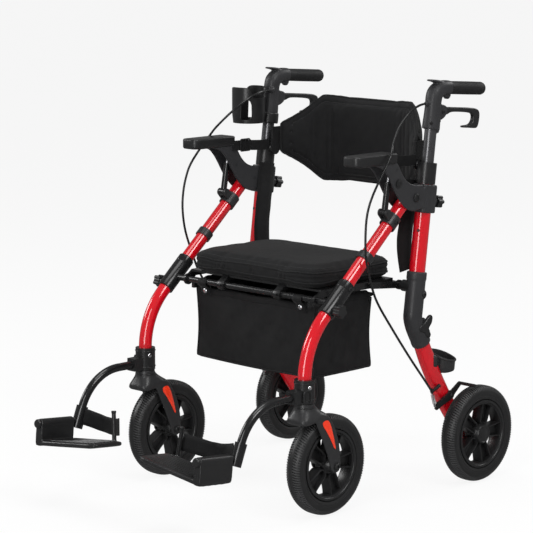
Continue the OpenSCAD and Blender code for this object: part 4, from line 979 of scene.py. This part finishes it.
heelLine = heelPath()
heel = strapPiece("leftHeelStrap", heelLine, "heel")
for piece, side, sign in ((heel, "left", 1), (mirrored(heel, "rightHeelStrap"), "right", -1)):
    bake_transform(piece)
    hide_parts("heel_straps")
web = strapPiece("leftWeb", curvePoints(strapSpec["web"], 6), "web")
bothSides("sideWebs", web, "rear_frame", "webbing", "side_webs")
belt = strapPiece("leftBelt", curvePoints(strapSpec["belt"], 4), "belt")
bothSides("armBelts", belt, "rear_frame", "webbing", "arm_belts")
buckle = joined(tube(sideLine(strapSpec["buckle"], strapSpec["buckleX"]), 1.9, 8, loop=True, up=(1, 0, 0)),
                tube(sideLine(strapSpec["bar"], strapSpec["buckleX"]), 1.6, 8, up=(1, 0, 0)))
bothSides("beltBuckles", addMesh("leftBuckle", *buckle, finish["glossPlastic"]), "rear_frame", "black_plastic")
print("straps done")

# brake cables, on the routes of the solids
cableSpec = {"radius": 2.4, "sides": 12, "steps": 4, "blend": (24, 4)}
legRun = [(25, -87, 412), (24, -45, 358), (21, 14, 289), (18.5, 66, 232), (17.5, 90, 205)]
cableRun = {
    "left": [(0, 79.4, 796), (0, 60, 793), (1, 34, 782), (6, -5, 755), (15, -33, 725), (25.8, -50, 709), (29, -64, 690),
             (28, -104, 634), (25, -119, 594), (25, -124, 548), (25, -121, 500), (25, -106, 451)] + legRun,
    "right": [(-14, 83.6, 796), (-15.5, 76.5, 796.3), (-27.5, 63.7, 797.8), (-42.5, 28.2, 796.9), (-47, -2.2, 789.8),
              (-42, -23.8, 778.2), (-32, -43, 762), (-14, -55.5, 741.5), (6, -59.1, 723), (24.6, -52.9, 710.1),
              (30.4, -57.1, 700.4), (30, -73.5, 686.5), (28, -109.3, 650.9), (27, -125.6, 621.2), (26, -135, 586.5),
              (25, -137, 550.8), (25, -129, 507), (25, -108, 455)] + legRun}
for side, sign in (("left", 1), ("right", -1)):
    path = curvePoints([Vector((sign * (half + x), y, z)) for x, y, z in cableRun[side]], cableSpec["steps"])
    cable = addMesh(side + "Cable", *tube(path, cableSpec["radius"], cableSpec["sides"], up=(1, 0, 0)),
                    finish["glossPlastic"], sharp=60)
    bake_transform(cable)
    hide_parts(side + "_brake_cable")
print("cables done")


# padded pieces
def puffPad(piece, spec):  # swell under a little pressure, with a cap on how far a point goes
    skin = piece.modifiers.new("skin", "REMESH")
    skin.mode, skin.voxel_size = "VOXEL", spec["voxel"] * mm
    applied(piece)
    rest = [v.co.copy() for v in piece.data.vertices]
    cloth = piece.modifiers.new("puff", "CLOTH")
    cloth.settings.quality = 4
    cloth.settings.use_pressure = True
    cloth.settings.uniform_pressure_force = spec["pressure"]
    cloth.settings.effector_weights.gravity = 0
    scene.frame_start, scene.frame_end = 1, 24
    for f in range(1, spec["frames"] + 1):
        scene.frame_set(f)
    shown = piece.evaluated_get(bpy.context.evaluated_depsgraph_get()).data
    for v, r, s in zip(piece.data.vertices, rest, shown.vertices):
        move = s.co - r
        if move.length > spec["cap"] * mm:
            move *= spec["cap"] * mm / move.length
        v.co = r + move
    piece.modifiers.clear()
    scene.frame_set(1)
    soft = piece.modifiers.new("soft", "SMOOTH")
    soft.factor, soft.iterations = 0.5, 3
    coatWith(finer(piece), finish["seatCloth"])
    return piece


def sinkAlong(piece, points, width, depth):  # a sewn line pulls the cloth in
    tree = KDTree(len(points))
    for i, p in enumerate(points):
        tree.insert(Vector(p) * mm, i)
    tree.balance()
    shift = []
    for v in piece.data.vertices:
        d = tree.find(v.co)[2] / (width * mm)
        shift.append(v.normal * (-depth * mm * math.exp(-d * d)) if d < 3 else None)
    for v, s in zip(piece.data.vertices, shift):
        if s is not None:
            v.co += s
    piece.data.update()


def onSkin(piece, points, lift=0.0):  # drop the points on the piece's skin, each with the skin's normal
    tree = BVHTree.FromObject(piece, bpy.context.evaluated_depsgraph_get())
    out = []
    for p in points:
        spot, normal, _, _ = tree.find_nearest(Vector(p) * mm)
        out.append((spot / mm + normal * lift, normal))
    return out


def skinLine(piece, points, lift=0.0):
    return [p for p, n in onSkin(piece, points, lift)]


stitchLineShape = [Vector((x, 0, z)) for x, z in ((-1.7, -0.1), (-1.0, 0.35), (1.0, 0.35), (1.7, -0.1))]
stitchShape = spare("stitch", tube(stitchLineShape, 0.32, 6), finish["darkThread"])


def stitchLine(name, skin, gap=5.0, lift=0.1):  # stitches along points that lie on a skin
    spots, aims, runs, left = [], [], [], 0.0
    for (a, na), (b, _) in zip(skin, skin[1:]):
        span = (b - a).length
        while left < span:
            spots.append(a.lerp(b, left / span) + na * lift)
            aims.append(na)
            runs.append((b - a).normalized())
            left += gap
        left -= span
    return rowOf(name, stitchShape, spots, aims, runs, 1.0, finish["darkThread"])


seatSpec = {
    "voxel": 5, "pressure": 3.0, "cap": 7, "frames": 18, "halfX": 183, "front": -197, "rear": 56, "low": 442.5,
    "high": 479, "corner": 0.26, "drawn": 0.016, "crown": 5,
    "sides": [(-6, 0), (-1, 4), (0, 12), (0, 24.5), (-1.5, 32.5), (-7, 36.5)],
    "seams": [(33.5, 4, 3.2, 1.8), (18, 6, 3.0, 2.4), (6, 4, 3.0, 1.4)]}


def seatLoop(grow, z, n=96):
    hx, hy = seatSpec["halfX"] + grow, (seatSpec["rear"] - seatSpec["front"]) / 2 + grow
    mid, power = (seatSpec["rear"] + seatSpec["front"]) / 2, seatSpec["corner"]
    out = []
    for a in turns(n):
        c, s = math.cos(a), math.sin(a)
        pull = 1 - seatSpec["drawn"] * (1 - abs(math.sin(2 * a)))
        out.append(Vector((hx * pull * math.copysign(abs(c) ** power, c),
                           mid + hy * pull * math.copysign(abs(s) ** power, s), z)))
    return out


def makeSeat():
    low, high, mid = seatSpec["low"], seatSpec["high"], (seatSpec["rear"] + seatSpec["front"]) / 2
    rings = [seatLoop(grow, low + up) for grow, up in seatSpec["sides"]]
    for k in (0.8, 0.55, 0.3, 0.1):
        rings.append([Vector((p.x * k, mid + (p.y - mid) * k, high + seatSpec["crown"] * (1 - k * k)))
                      for p in seatLoop(-7, high)])
    return loft(rings)


seat = puffPad(addMesh("seatPad", *makeSeat(), finish["seatCloth"], sharp=0), seatSpec)
seams = []
for up, grow, width, depth in seatSpec["seams"]:
    seams.append(skinLine(seat, seatLoop(grow, seatSpec["low"] + up, 220)))
    sinkAlong(seat, seams[-1], width, depth)
place(clothMap(seat), "seat", "black_fabric", "seat_cushion")
pipes = [clothMap(addMesh("seatPipe", *tube(skinLine(seat, line, 0.9), 1.9, 8, loop=True), finish["bagCloth"], sharp=0))
         for line in (seams[0], seams[2])]
place(fused("seatPiping", *pipes), "seat", "black_fabric")
place(stitchLine("seatStitches", onSkin(seat, seatLoop(-9, seatSpec["high"] + 4, 260), 0.1)), "seat", "black_fabric")
print("seat done")

backSpec = {
    "voxel": 5, "pressure": 2.2, "cap": 6, "frames": 16, "half": 192, "tall": 184, "end": 64, "taper": 128,
    "thick": 17, "mid": 695, "bow": 84, "y": 92.7, "curve": 3.7, "rings": 64, "channel": 104, "channelHalf": 70,
    "lines": (13, 3.4, 2.6), "channels": (4.0, 1.8)}


def backPoint(x, h, off):  # a point of the bowed band, h over its middle, off to the back
    bow, power = backSpec["bow"], backSpec["curve"]
    u = max(-1.0, min(1.0, x / backSpec["half"]))
    y = backSpec["y"] + bow * (1 - abs(u) ** power)
    turn = math.atan(-bow * power * math.copysign(abs(u) ** (power - 1), u) / backSpec["half"])
    return Vector((x - off * math.sin(turn), y + off * math.cos(turn), backSpec["mid"] + h))


def backHalf(x):
    taper = max(0.0, (abs(x) - backSpec["taper"]) / (backSpec["half"] - backSpec["taper"]))
    return backSpec["tall"] / 2 - (backSpec["tall"] - backSpec["end"]) / 2 * taper


def makeBack():
    rings = []
    for i in range(backSpec["rings"] + 1):
        x = -backSpec["half"] + 2 * backSpec["half"] * i / backSpec["rings"]
        thick = backSpec["thick"] / 2 * (1 - 0.35 * abs(x / backSpec["half"]) ** 6)
        rings.append([backPoint(x, b, a) for a, b in softBox(2 * thick, 2 * backHalf(x), 0.42, 40)])
    return loft(rings)


def backLoop(inset, off, n=40):  # loop inside the outline, at a distance from it
    end = backSpec["half"] - inset
    upper = [(x, backHalf(x) - inset) for x in [-end + 2 * end * k / n for k in range(n + 1)]]
    return curvePoints([backPoint(x, h, off) for x, h in upper + [(x, -h) for x, h in upper[::-1]]], 3, True)


back = puffPad(addMesh("backPad", *makeBack(), finish["seatCloth"], sharp=0), backSpec)
backLines = []
for off in (-14, 14):
    inset, *dent = backSpec["lines"]
    backLines.append(skinLine(back, backLoop(inset, off)))
    sinkAlong(back, backLines[-1], *dent)
for x in (-backSpec["channel"], backSpec["channel"]):
    line = [backPoint(x, -backSpec["channelHalf"] + 2 * backSpec["channelHalf"] * k / 60, -16) for k in range(61)]
    sinkAlong(back, skinLine(back, line), *backSpec["channels"])
place(clothMap(back), "backrest", "black_fabric", "backrest_pad")
rimSkin = skinLine(back, backLoop(-3, 0), 0.4)
binding = clothMap(addMesh("backBinding", *tube(rimSkin, 2.6, 8, loop=True, up=(0, 1, 0)), finish["bagCloth"], sharp=0))
place(binding, "backrest", "black_fabric")
threads = [stitchLine("backStitch%d" % i, onSkin(back, line + line[:1], 0.1)) for i, line in enumerate(backLines)]
place(fused("backStitches", *threads), "backrest", "black_fabric")
print("backrest done")

# bag under the seat: sagging shell with bound edges, hem, tabs and press studs
bagSpec = {
    "half": 171, "front": -179, "rear": -11, "low": 258, "top": 404.5, "wall": 2.4, "sag": 7, "drawn": 7, "flap": 17,
    "raise": 6.0, "floor": 254.5, "tabs": (-136, 136), "clips": (-80, 80), "bar": (-188.05, 421.56), "clipR": 10.4,
    "tab": [(-181.4, 392), (-181.4, 402), (-181.4, 412), (-185, 420), (-190, 425.6), (-195.4, 424), (-196, 416),
            (-186, 408), (-184.4, 398)],
    "stud": [(-1, 5.6), (0.4, 5.6), (1.6, 4.8), (2.4, 3.0), (2.6, 0.6)],
    "studAt": (-185.8, 402)}


def bagPoint(side, u, v):  # side 0 front, 1 left, 2 back, 3 right; u along it, v up
    x0, x1, y0, y1, low = -bagSpec["half"], bagSpec["half"], bagSpec["front"], bagSpec["rear"], bagSpec["low"]
    corners = [(x0, y0), (x1, y0), (x1, y1), (x0, y1)]
    (ax, ay), (bx, by) = corners[side], corners[(side + 1) % 4]
    x = ax + (bx - ax) * u
    out = Vector(((by - ay), -(bx - ax), 0)).normalized()
    p = Vector((x, ay + (by - ay) * u, low + (bagSpec["top"] - low) * v))
    bow = math.sin(math.pi * u)
    waist = math.sin(math.pi * v) * bagSpec["drawn"]
    edge, near = abs(2 * u - 1) ** 4, max(0.0, v - 0.75) / 0.25
    p += out * (bow * math.sin(math.pi * (0.15 + 0.8 * v)) * 3.0 - waist * (1 - edge) * 0.25)
    if side in (0, 2):
        p.x -= x / abs(x - 1e-9) * waist * edge * (abs(x) / x1)
        if v < 0.05:
            p.z -= bagSpec["sag"] * bow * 0.45
        lift = near * ((bagSpec["raise"] if side == 0 else 0.0) - 2.5 * math.sin(3 * math.pi * u) ** 2)
    else:
        p += -out * waist * 0.9
        along = u if side == 1 else 1 - u
        lift = near * (bagSpec["raise"] * (1 - along) + bagSpec["flap"] * min(1.0, along / 0.16, (1 - along) / 0.08))
    ripple = 1.5 * math.sin(u * 13 + v * 6 + side) + 1.1 * math.sin(u * 27 - v * 9 + 2 * side)
    ripple = ripple * math.sin(v * math.pi) * bow
    return p + out * ripple + Vector((0, 0, lift))


def bagRing(v, n):
    return [bagPoint(side, k / n, v) for side in range(4) for k in range(n)]


def makeBag():
    rows = 16
    rings = [bagRing(j / rows, 22) for j in range(rows + 1)]
    verts, faces = loft(rings, capStart=False, capEnd=False)
    base, n, mid = rings[0], len(rings[0]), (bagSpec["front"] + bagSpec["rear"]) / 2
    last = list(range(n))
    for k in (0.75, 0.5, 0.25, 0.08):
        ring = list(range(len(verts), len(verts) + n))
        verts += [Vector((p.x * k, mid + (p.y - mid) * k, p.z - bagSpec["sag"] * 0.5 * (1 - k * k) + 2)) for p in base]
        faces += [(last[i], ring[i], ring[(i + 1) % n], last[(i + 1) % n]) for i in range(n)]
        last = ring
    return verts, faces + [tuple(last)]


bag = addMesh("bagShell", *makeBag(), finish["bagCloth"], sharp=0)
for v in bag.data.vertices:
    v.co.z = max(v.co.z, bagSpec["floor"] * mm)
walled(bag, bagSpec["wall"])
place(clothMap(finer(bag)), "front_frame", "black_fabric", "seat_bag")
uprights = [skinLine(bag, [bagPoint(side, 0, v / 24) for v in range(25)], 0.3) for side in range(4)]
trims = [tube(line, 2.3, 8, up=(1, 0, 0)) for line in uprights]  # bound upright edges, hem and foot
trims.append(loft(sweep(skinLine(bag, bagRing(0.95, 24), 0.2), lambda i: softBox(2.6, 13, 0.5, 12), loop=True),
                  loop=True))
trims.append(tube(skinLine(bag, bagRing(0.02, 24), 0.3), 2.1, 8, loop=True))
place(clothMap(addMesh("bagBinding", *joined(*trims), finish["strapWeb"], sharp=60)), "front_frame", "black_fabric")
tabs = [makeStrap(curvePoints(sideLine(bagSpec["tab"], x), 3), 24, 1.5, (1, 0, 0)) for x in bagSpec["tabs"]]
place(clothMap(addMesh("bagTabs", *joined(*tabs), finish["strapWeb"], sharp=60)), "front_frame", "black_fabric")
studShape = spare("pressStud", knob(bagSpec["stud"]), finish["brightCap"])
studAt = [Vector((x, *bagSpec["studAt"])) for x in bagSpec["tabs"]]
pressStuds = rowOf("pressStuds", studShape, studAt, [Vector((0, -1, 0))] * 2, [Vector((1, 0, 0))] * 2, 1.0,
                   finish["brightCap"])
place(pressStuds, "front_frame", "steel")
clips = []
for x in bagSpec["clips"]:
    barY, barZ = bagSpec["bar"]
    loop = sideLine([(barY + bagSpec["clipR"] * math.cos(t), barZ + bagSpec["clipR"] * math.sin(t)) for t in turns(28)],
                    x)
    clips.append(loft(sweep(loop, lambda i: softBox(16, 2.4, 0.5, 12), loop=True), loop=True))
place(addMesh("barClips", *joined(*clips), finish["blackPlastic"]), "front_frame", "black_plastic")
print("bag done")

# rear leg of oval tube, elbow moulding with collars and link boss, and the round tubes
legSpec = {
    "wide": 36.0, "thick": 29.0, "centre": (846.6, 663.7), "bend": 850.2, "from": -24.0, "to": -41.4, "voxel": 1.7,
    "rounds": 4, "up": (0, 0.84, 0.54), "eye": [(-15.2, 16), (-14, 18), (14, 18), (15.2, 16)]}
elbowSpec = {
    "radius": 19.6, "collar": 20.6, "foot": 20.3, "voxel": 1.7, "rounds": 3, "post": (-5, -18, -40, -62, -84),
    "collarAt": (-21, -4.4), "footAt": [(70.2, 315), (76.4, 305.4)], "ear": [(74, 352), (80, 346), (84, 340)],
    "link": {"x": (203.4, 204.4, 226), "at": (47, 426), "radii": (11, 12, 12)},
    "bend": [(48.5, 362), (54, 344), (62.5, 328), (69.6, 316), (76, 306)],
    "bosses": [((-6, 60, 410), (19, 60, 410), (20, 60, 410)), ((-6, 70, 330), (19.4, 72, 330), (20.4, 72, 330))]}
tubeSpec = {
    "post": 16.5, "front": 13.5, "handle": 12.5, "sides": 48, "knee": 155.0, "swivel": -270.0, "feet": (280, 236.0),
    "top": 292, "postAt": (-52, 80, 214), "tubeAt": (0, 140, 292), "handleAt": (96, 220, 352), "sleeveBoss": 308,
    "sleeve": [(240, 15.6), (241.4, 17.0), (256, 17.0), (257, 16.6), (258, 17.0), (322.6, 17.0), (324, 15.6)]}


def legPoint(t):
    a = math.radians(legSpec["from"] + (legSpec["to"] - legSpec["from"]) * t)
    return Vector((half, legSpec["centre"][0] - legSpec["bend"] * math.cos(a),
                   legSpec["centre"][1] + legSpec["bend"] * math.sin(a)))


def makeLeg():
    wide = lambda i: legSpec["wide"] - 5 * max(0.0, 1 - i / 5) - 2 * max(0.0, (i - 20) / 4)
    bar = loft(sweep([legPoint(k / 24) for k in range(25)], lambda i: softBox(legSpec["thick"], wide(i), 0.8, 28),
                     up=legSpec["up"]))
    return joined(bar, discs(legPoint(1), legSpec["eye"], 32))


def makeElbow():
    path = curvePoints([onPost(s) for s in elbowSpec["post"]] + sideLine(elbowSpec["bend"], half), 3)
    shapes = [tube(path, elbowSpec["radius"], 28, up=(1, 0, 0))]
    for (a, b), r in (([onPost(s) for s in elbowSpec["collarAt"]], elbowSpec["collar"]),
                      (sideLine(elbowSpec["footAt"], half), elbowSpec["foot"])):
        shapes.append(tube([a, a.lerp(b, 0.08), a.lerp(b, 0.92), b], (r - 1, r, r, r - 1), 28, up=(1, 0, 0)))
    for boss in elbowSpec["bosses"]:
        shapes.append(tube([Vector((half + x, y, z)) for x, y, z in boss], (10, 9.4, 8.4), 20))
    shapes.append(tube(sideLine(elbowSpec["ear"], half), (10, 9, 7), 16, up=(1, 0, 0)))
    return joined(*shapes)


def frontLegPath():
    turn = math.pi / 2 - drop
    run = tubeSpec["knee"] * math.tan(turn / 2)
    bent = (onTube(0).y - tubeSpec["swivel"]) / math.cos(drop)
    low = onTube(bent) - Vector((0, 0, run))
    arc = [low + tubeSpec["knee"] * Vector((0, 1 - math.cos(a), math.sin(a)))
           for a in [turn * (1 - k / 24) for k in range(25)]]
    return [onTube(tubeSpec["top"])] + arc + [Vector((half, tubeSpec["swivel"], z)) for z in tubeSpec["feet"]]


def roundBar(name, points, radius, material):
    return addMesh(name, *tube(points, radius, tubeSpec["sides"], up=(1, 0, 0)), finish[material], sharp=50)


def sleeveShape():
    boss, rows = onTube(tubeSpec["sleeveBoss"]), tubeSpec["sleeve"]
    return joined(tube([onTube(t) for t, r in rows], [r for t, r in rows], tubeSpec["sides"], up=(1, 0, 0)),
                  tube([Vector((half + x, boss.y, boss.z)) for x in (0, 19, 20)], (9, 9, 8), 28))


for name, points, radius, body, node in (
        ("rearPosts", [onPost(t) for t in tubeSpec["postAt"]], tubeSpec["post"], "rear_frame", "rear_posts"),
        ("frontTubes", [onTube(t) for t in tubeSpec["tubeAt"]], tubeSpec["front"], "front_frame", "front_tubes"),
        ("frontLegs", frontLegPath(), tubeSpec["front"], "front_frame", "front_legs")):
    bothSides(name, roundBar("leftBar", points, radius, "redLacquer"), body, "red_paint", node)
bothSides("frontSleeves", addMesh("leftSleeve", *sleeveShape(), finish["glossPlastic"]), "front_frame", "dark_plastic",
          "front_sleeves")
handleTube = roundBar("leftHandleTube", [onPost(t) for t in tubeSpec["handleAt"]], tubeSpec["handle"], "graphiteTube")
pairOf(handleTube, "left_handle", "bright_tube", "left_handle_tube")
leg = mould("leftLeg", makeLeg(), finish["redLacquer"], legSpec["voxel"], legSpec["rounds"])
bothSides("rearLegs", leg, "rear_frame", "red_paint", "rear_legs")
elbow = mould("leftElbow", makeElbow(), finish["slatePlastic"], elbowSpec["voxel"], elbowSpec["rounds"])
link = elbowSpec["link"]
linkBoss = tube([Vector((x, *link["at"])) for x in link["x"]], link["radii"], 24)
elbow = fused("leftElbowParts", elbow, addMesh("leftLinkBoss", *linkBoss, finish["blackPlastic"]))
bothSides("elbowMouldings", elbow, "rear_frame", "grey_plastic", "elbows")

cupSpec = {
    "at": (-237.0, 43.0), "radius": 35.5, "low": 728.0, "tall": 54.0, "tab": 23.0, "wall": 2.8, "sill": 8.0,
    "arch": 42.0, "window": 20.0, "face": 44.5, "turns": 180, "rows": 8,
    "clamp": [(265.6, 19.4), (267, 20.4), (287, 20.4), (288.4, 19.4)],
    "armX": -233,
    "arm": [(70, 742, 20, 26), (78, 742, 18, 24), (88, 742, 16, 22)]}


def cupEdges(phi):  # lower edge of the arch over a window, and the rim with its two raised tabs
    rim, arch = cupSpec["tall"], cupSpec["sill"]
    for turn, slot in ((0.0, cupSpec["window"]), (180.0, cupSpec["window"] / 2)):
        off = lambda mid: abs((math.degrees(phi) - mid - turn + 180) % 360 - 180)
        rim += cupSpec["tab"] * max(0.0, 1 - (off(-40) / 58) ** 6)
        arch += cupSpec["arch"] * max(0.0, 1 - (off(-8) / slot) ** 4) ** 0.25
    return arch, rim


def cupPoint(phi, z):
    face, r = math.radians(cupSpec["face"]), cupSpec["radius"] * (0.94 + 0.06 * min(1.0, z / 20))
    return Vector((cupSpec["at"][0] + r * math.sin(face + phi), cupSpec["at"][1] - r * math.cos(face + phi),
                   cupSpec["low"] + z))


def makeCup():
    around, rows = [(t, *cupEdges(t)) for t in turns(cupSpec["turns"])], cupSpec["rows"]
    base = loft([[cupPoint(t, cupSpec["sill"] * j / 3) for t, low, high in around] for j in range(4)], capEnd=False)
    upper = loft([[cupPoint(t, low + (high - low) * j / rows) for t, low, high in around] for j in range(rows + 1)],
                 capStart=False, capEnd=False)
    return joined(base, upper)


def shellOf(name, shape, material, wall, sharp):
    piece = addMesh(name, *shape, material, sharp=0)
    walled(piece, wall)
    applied(piece)
    piece.data.set_sharp_from_angle(angle=math.radians(sharp))
    return piece


cup = shellOf("cupShell", makeCup(), finish["blackPlastic"], cupSpec["wall"], 40)
clampLine = [onPost(s) for s, r in cupSpec["clamp"]]
clampRing = tube([Vector((-p.x, p.y, p.z)) for p in clampLine], [r for s, r in cupSpec["clamp"]], 28, up=(1, 0, 0))
clampPiece = mould("cupClamp", joined(clampRing, boxBar(cupSpec["armX"], cupSpec["arm"], 0.5, 16)),
                   finish["blackPlastic"], 1.6, 3)
place(fused("cupHolder", cup, clampPiece), "right_handle", "black_plastic", "cup_holder")
print("legs, elbows and cup done")

# screws and small fittings; each row is the place on the left side, the way it looks and its size
screwRows = [(-2, 5.6), (1.4, 5.6), (2.4, 4.8), (2.6, 3.2), (2.5, 2.6), (0.9, 2.4), (0.9, 0.3)]
screwShape = spare("socketScrew", knob(screwRows), finish["blackPlastic"])
outward = (1, 0, 0)
frameScrews = {
    "rear_frame": [((19.6, pivot.y, pivot.z), outward, 1.5), ((19.6, pivot.y - 54, pivot.z + 33.5), outward, 1.25),
                   ((19.8, 60, 410), outward, 1.0), ((19.0, 68, 330), outward, 0.9),
                   ((5.7, 56.6, 541), (0.36, -0.92, 0.12), 0.55)],
    "front_frame": [((17.4, onTube(72).y, onTube(72).z), outward, 0.9),
                    ((17.0, onTube(252).y, onTube(252).z), outward, 0.75)]}
sideScrews = {
    "handle": [((12.6, 85, 757), (1, -0.6, 0), 0.62), ((14.6, 108, 760), (1, 0.25, 0), 0.62),
               ((11.4, 124, 777), outward, 0.62)],
    "caster": [((out * (forkSpec["bladeOut"] + 2.6), -209, axleZ), (out, 0, 0), 1.15) for out in (-1, 1)]}


def placeScrews(body, rows, signs):
    studs = [(Vector((s * (half + at[0]), at[1], at[2])), Vector((s * aim[0], aim[1], aim[2])), size) for s in signs
             for at, aim, size in rows]
    found = []
    for size in sorted({size for at, aim, size in studs}):
        spots = [(at, aim) for at, aim, own in studs if own == size]
        found.append(rowOf("screwsOf%d" % len(found), screwShape, [at for at, aim in spots], [aim for at, aim in spots],
                           [Vector((0, 1, 0))] * len(spots), size, finish["blackPlastic"]))
    place(fused(body + "Screws", *found), body, "black_plastic")


for body, rows in frameScrews.items():
    placeScrews(body, rows, (1, -1))
for word, rows in sideScrews.items():
    for side, sign in (("left", 1), ("right", -1)):
        placeScrews(side + "_" + word, rows, (sign,))

latchSpec = {
    "x": (14, 22), "edge": 2.2, "voxel": 1.2, "rounds": 2,
    "line": [(50, 346), (62, 352), (74, 362), (82, 366), (87, 360), (84, 348), (76, 338), (82, 326), (78, 319),
             (68, 322), (60, 332), (50, 336)]}
latch = plate(outlineOf(latchSpec["line"]), half + latchSpec["x"][0], half + latchSpec["x"][1], latchSpec["edge"])
latch = mould("leftLatch", latch, finish["blackPlastic"], latchSpec["voxel"], latchSpec["rounds"])
bothSides("elbowLatches", latch, "rear_frame", "black_plastic")

# footrest sockets: spring button, bands and a clip
socketSpec = {
    "y": -270.0, "radius": 20.6, "bands": (227.0, 243.0, 276.0), "clipZ": 250, "clipOut": 21.8, "buttonZ": 268,
    "buttonOut": 21.2, "clipFace": (0.86, -0.5, 0), "clipSide": (0.5, 0.86, 0), "buttonFace": (0.95, -0.3, 0),
    "clip": [(-7, -11), (-7.4, 4), (-5, 11), (0, 13.4), (5, 11), (7.4, 4), (7, -11)]}
bands = [tube([Vector((half + x, socketSpec["y"] + y, z)) for x, y in roundSection(socketSpec["radius"], 40)], 1.1, 8,
              loop=True)
         for z in socketSpec["bands"]]
clipFace, clipSide = Vector(socketSpec["clipFace"]).normalized(), Vector(socketSpec["clipSide"])
clipAt = Vector((half, socketSpec["y"], socketSpec["clipZ"])) + clipFace * socketSpec["clipOut"]
clipPath = curvePoints([clipAt + clipSide * a + Vector((0, 0, b)) for a, b in socketSpec["clip"]], 3)
clip = loft(sweep(clipPath, lambda i: softBox(3.4, 3.8, 0.5, 10), up=tuple(clipFace)))
bothSides("socketFittings", addMesh("leftSocketClip", *joined(clip, *bands), finish["blackPlastic"]), "front_frame",
          "black_plastic")
buttonFace = Vector(socketSpec["buttonFace"]).normalized()
buttons = [Vector((sign * half, socketSpec["y"], socketSpec["buttonZ"])) + buttonFace * socketSpec["buttonOut"]
           for sign in (1, -1)]
buttons = rowOf("socketButtons", studShape, buttons, [buttonFace] * 2, [Vector((0, 0, 1))] * 2, 0.8,
                finish["brightCap"])
place(buttons, "front_frame", "steel")

# cane cup with a sloping rim, clipped to the leg
caneSpec = {
    "at": (half, 146.0), "low": 236.5, "high": 47.0, "out": 24.5, "back": 26.0, "fallOut": 0.34, "fallBack": 0.2,
    "wall": 3.0,
    "rings": [(0.74, 0, 0), (0.86, 1.2, 0), (0.93, 4, 0), (0.95, 4, 0.25), (0.97, 2, 0.6), (1, 0, 1)],
    "clipZ": 262,
    "bridge": [(2, 266, 33, 30), (12, 263, 32, 30), (17, 261, 26, 28)],
    "bridgeEnd": (124, 260, 20, 24)}


def caneRing(grow, z, rise):
    ring = []
    for t in turns(48):
        c, s = math.cos(t), math.sin(t)
        x = caneSpec["out"] * grow * math.copysign(abs(c) ** 0.8, c) * (1 - 0.16 * s)
        y = caneSpec["back"] * grow * math.copysign(abs(s) ** 0.8, s)
        fallen = caneSpec["fallOut"] * (x + caneSpec["out"]), caneSpec["fallBack"] * (y + caneSpec["back"])
        top = caneSpec["high"] - fallen[0] - fallen[1]
        ring.append(Vector((caneSpec["at"][0] + x, caneSpec["at"][1] + y, caneSpec["low"] + z + rise * top)))
    return ring


shell = shellOf("caneShell", loft([caneRing(*row) for row in caneSpec["rings"]], capEnd=False), finish["forkPlastic"],
                caneSpec["wall"], 50)
rim = addMesh("caneRim", *tube(caneRing(1, 0, 1), 2.1, 8, loop=True), finish["forkPlastic"])
legY = min((legPoint(k / 60) for k in range(61)), key=lambda p: abs(p.z - caneSpec["clipZ"])).y
bridgeRows = [(legY + y, z, w, h) for y, z, w, h in caneSpec["bridge"]] + [caneSpec["bridgeEnd"]]
bridge = boxBar(half, bridgeRows, 0.5, 16)
caneClip = mould("caneClip", bridge, finish["forkPlastic"], 1.6, 3)
place(fused("caneHolder", shell, rim, caneClip), "rear_frame", "black_plastic", "cane_cup")
print("sockets and cane cup done")

# brake ends: cable stop, inner wire and spring on each leg
brakeSpec = {
    "turns": 9, "steps": 14, "springRadius": 3.4, "wire": 0.55, "cableEnd": (17.5, 90, 205),
    "armEnd": (17.8, 101, 170),
    "bracket": [(13.5, 118, 212), (16.4, 104, 208), (17.5, 91, 204)]}


def makeSpring(a, b):
    along, count = b - a, brakeSpec["turns"] * brakeSpec["steps"]
    side = along.cross(Vector((1, 0, 0))).normalized()
    other = along.normalized().cross(side)
    pts = []
    for t in [k / count for k in range(count + 1)]:
        ang = 2 * math.pi * brakeSpec["turns"] * t
        pts.append(a + along * t + brakeSpec["springRadius"] * (math.cos(ang) * side + math.sin(ang) * other))
    return tube(pts, brakeSpec["wire"], 6, up=(1, 0, 0))


cableEnd, armEnd = (Vector((half, 0, 0)) + Vector(brakeSpec[word]) for word in ("cableEnd", "armEnd"))
fall = (armEnd - cableEnd).normalized()
stop = joined(tube([cableEnd + fall * d for d in (-6, 1, 5)], (3.0, 3.6, 3.0), 14, up=(1, 0, 0)),
              tube([Vector((half + x, y, z)) for x, y, z in brakeSpec["bracket"]], (4.2, 3.8, 3.6), 12, up=(1, 0, 0)))
bothSides("cableStops", addMesh("leftCableStop", *stop, finish["blackPlastic"]), "rear_frame", "black_plastic")
wire = joined(tube([cableEnd + fall * 4, armEnd + fall * 1], 0.8, 8, up=(1, 0, 0)),
              makeSpring(cableEnd + fall * 8, armEnd - fall * 6),
              tube([armEnd - fall * 6, armEnd - fall * 1], 2.6, 12, up=(1, 0, 0)))
wire = addMesh("leftBrakeWire", *wire, finish["satinSteel"])
for piece, side, sign in ((wire, "left", 1), (mirrored(wire, "rightBrakeWire"), "right", -1)):
    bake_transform(piece)
print("small fittings done")

for piece in partsBin:
    bpy.data.objects.remove(piece)
print("scene done")
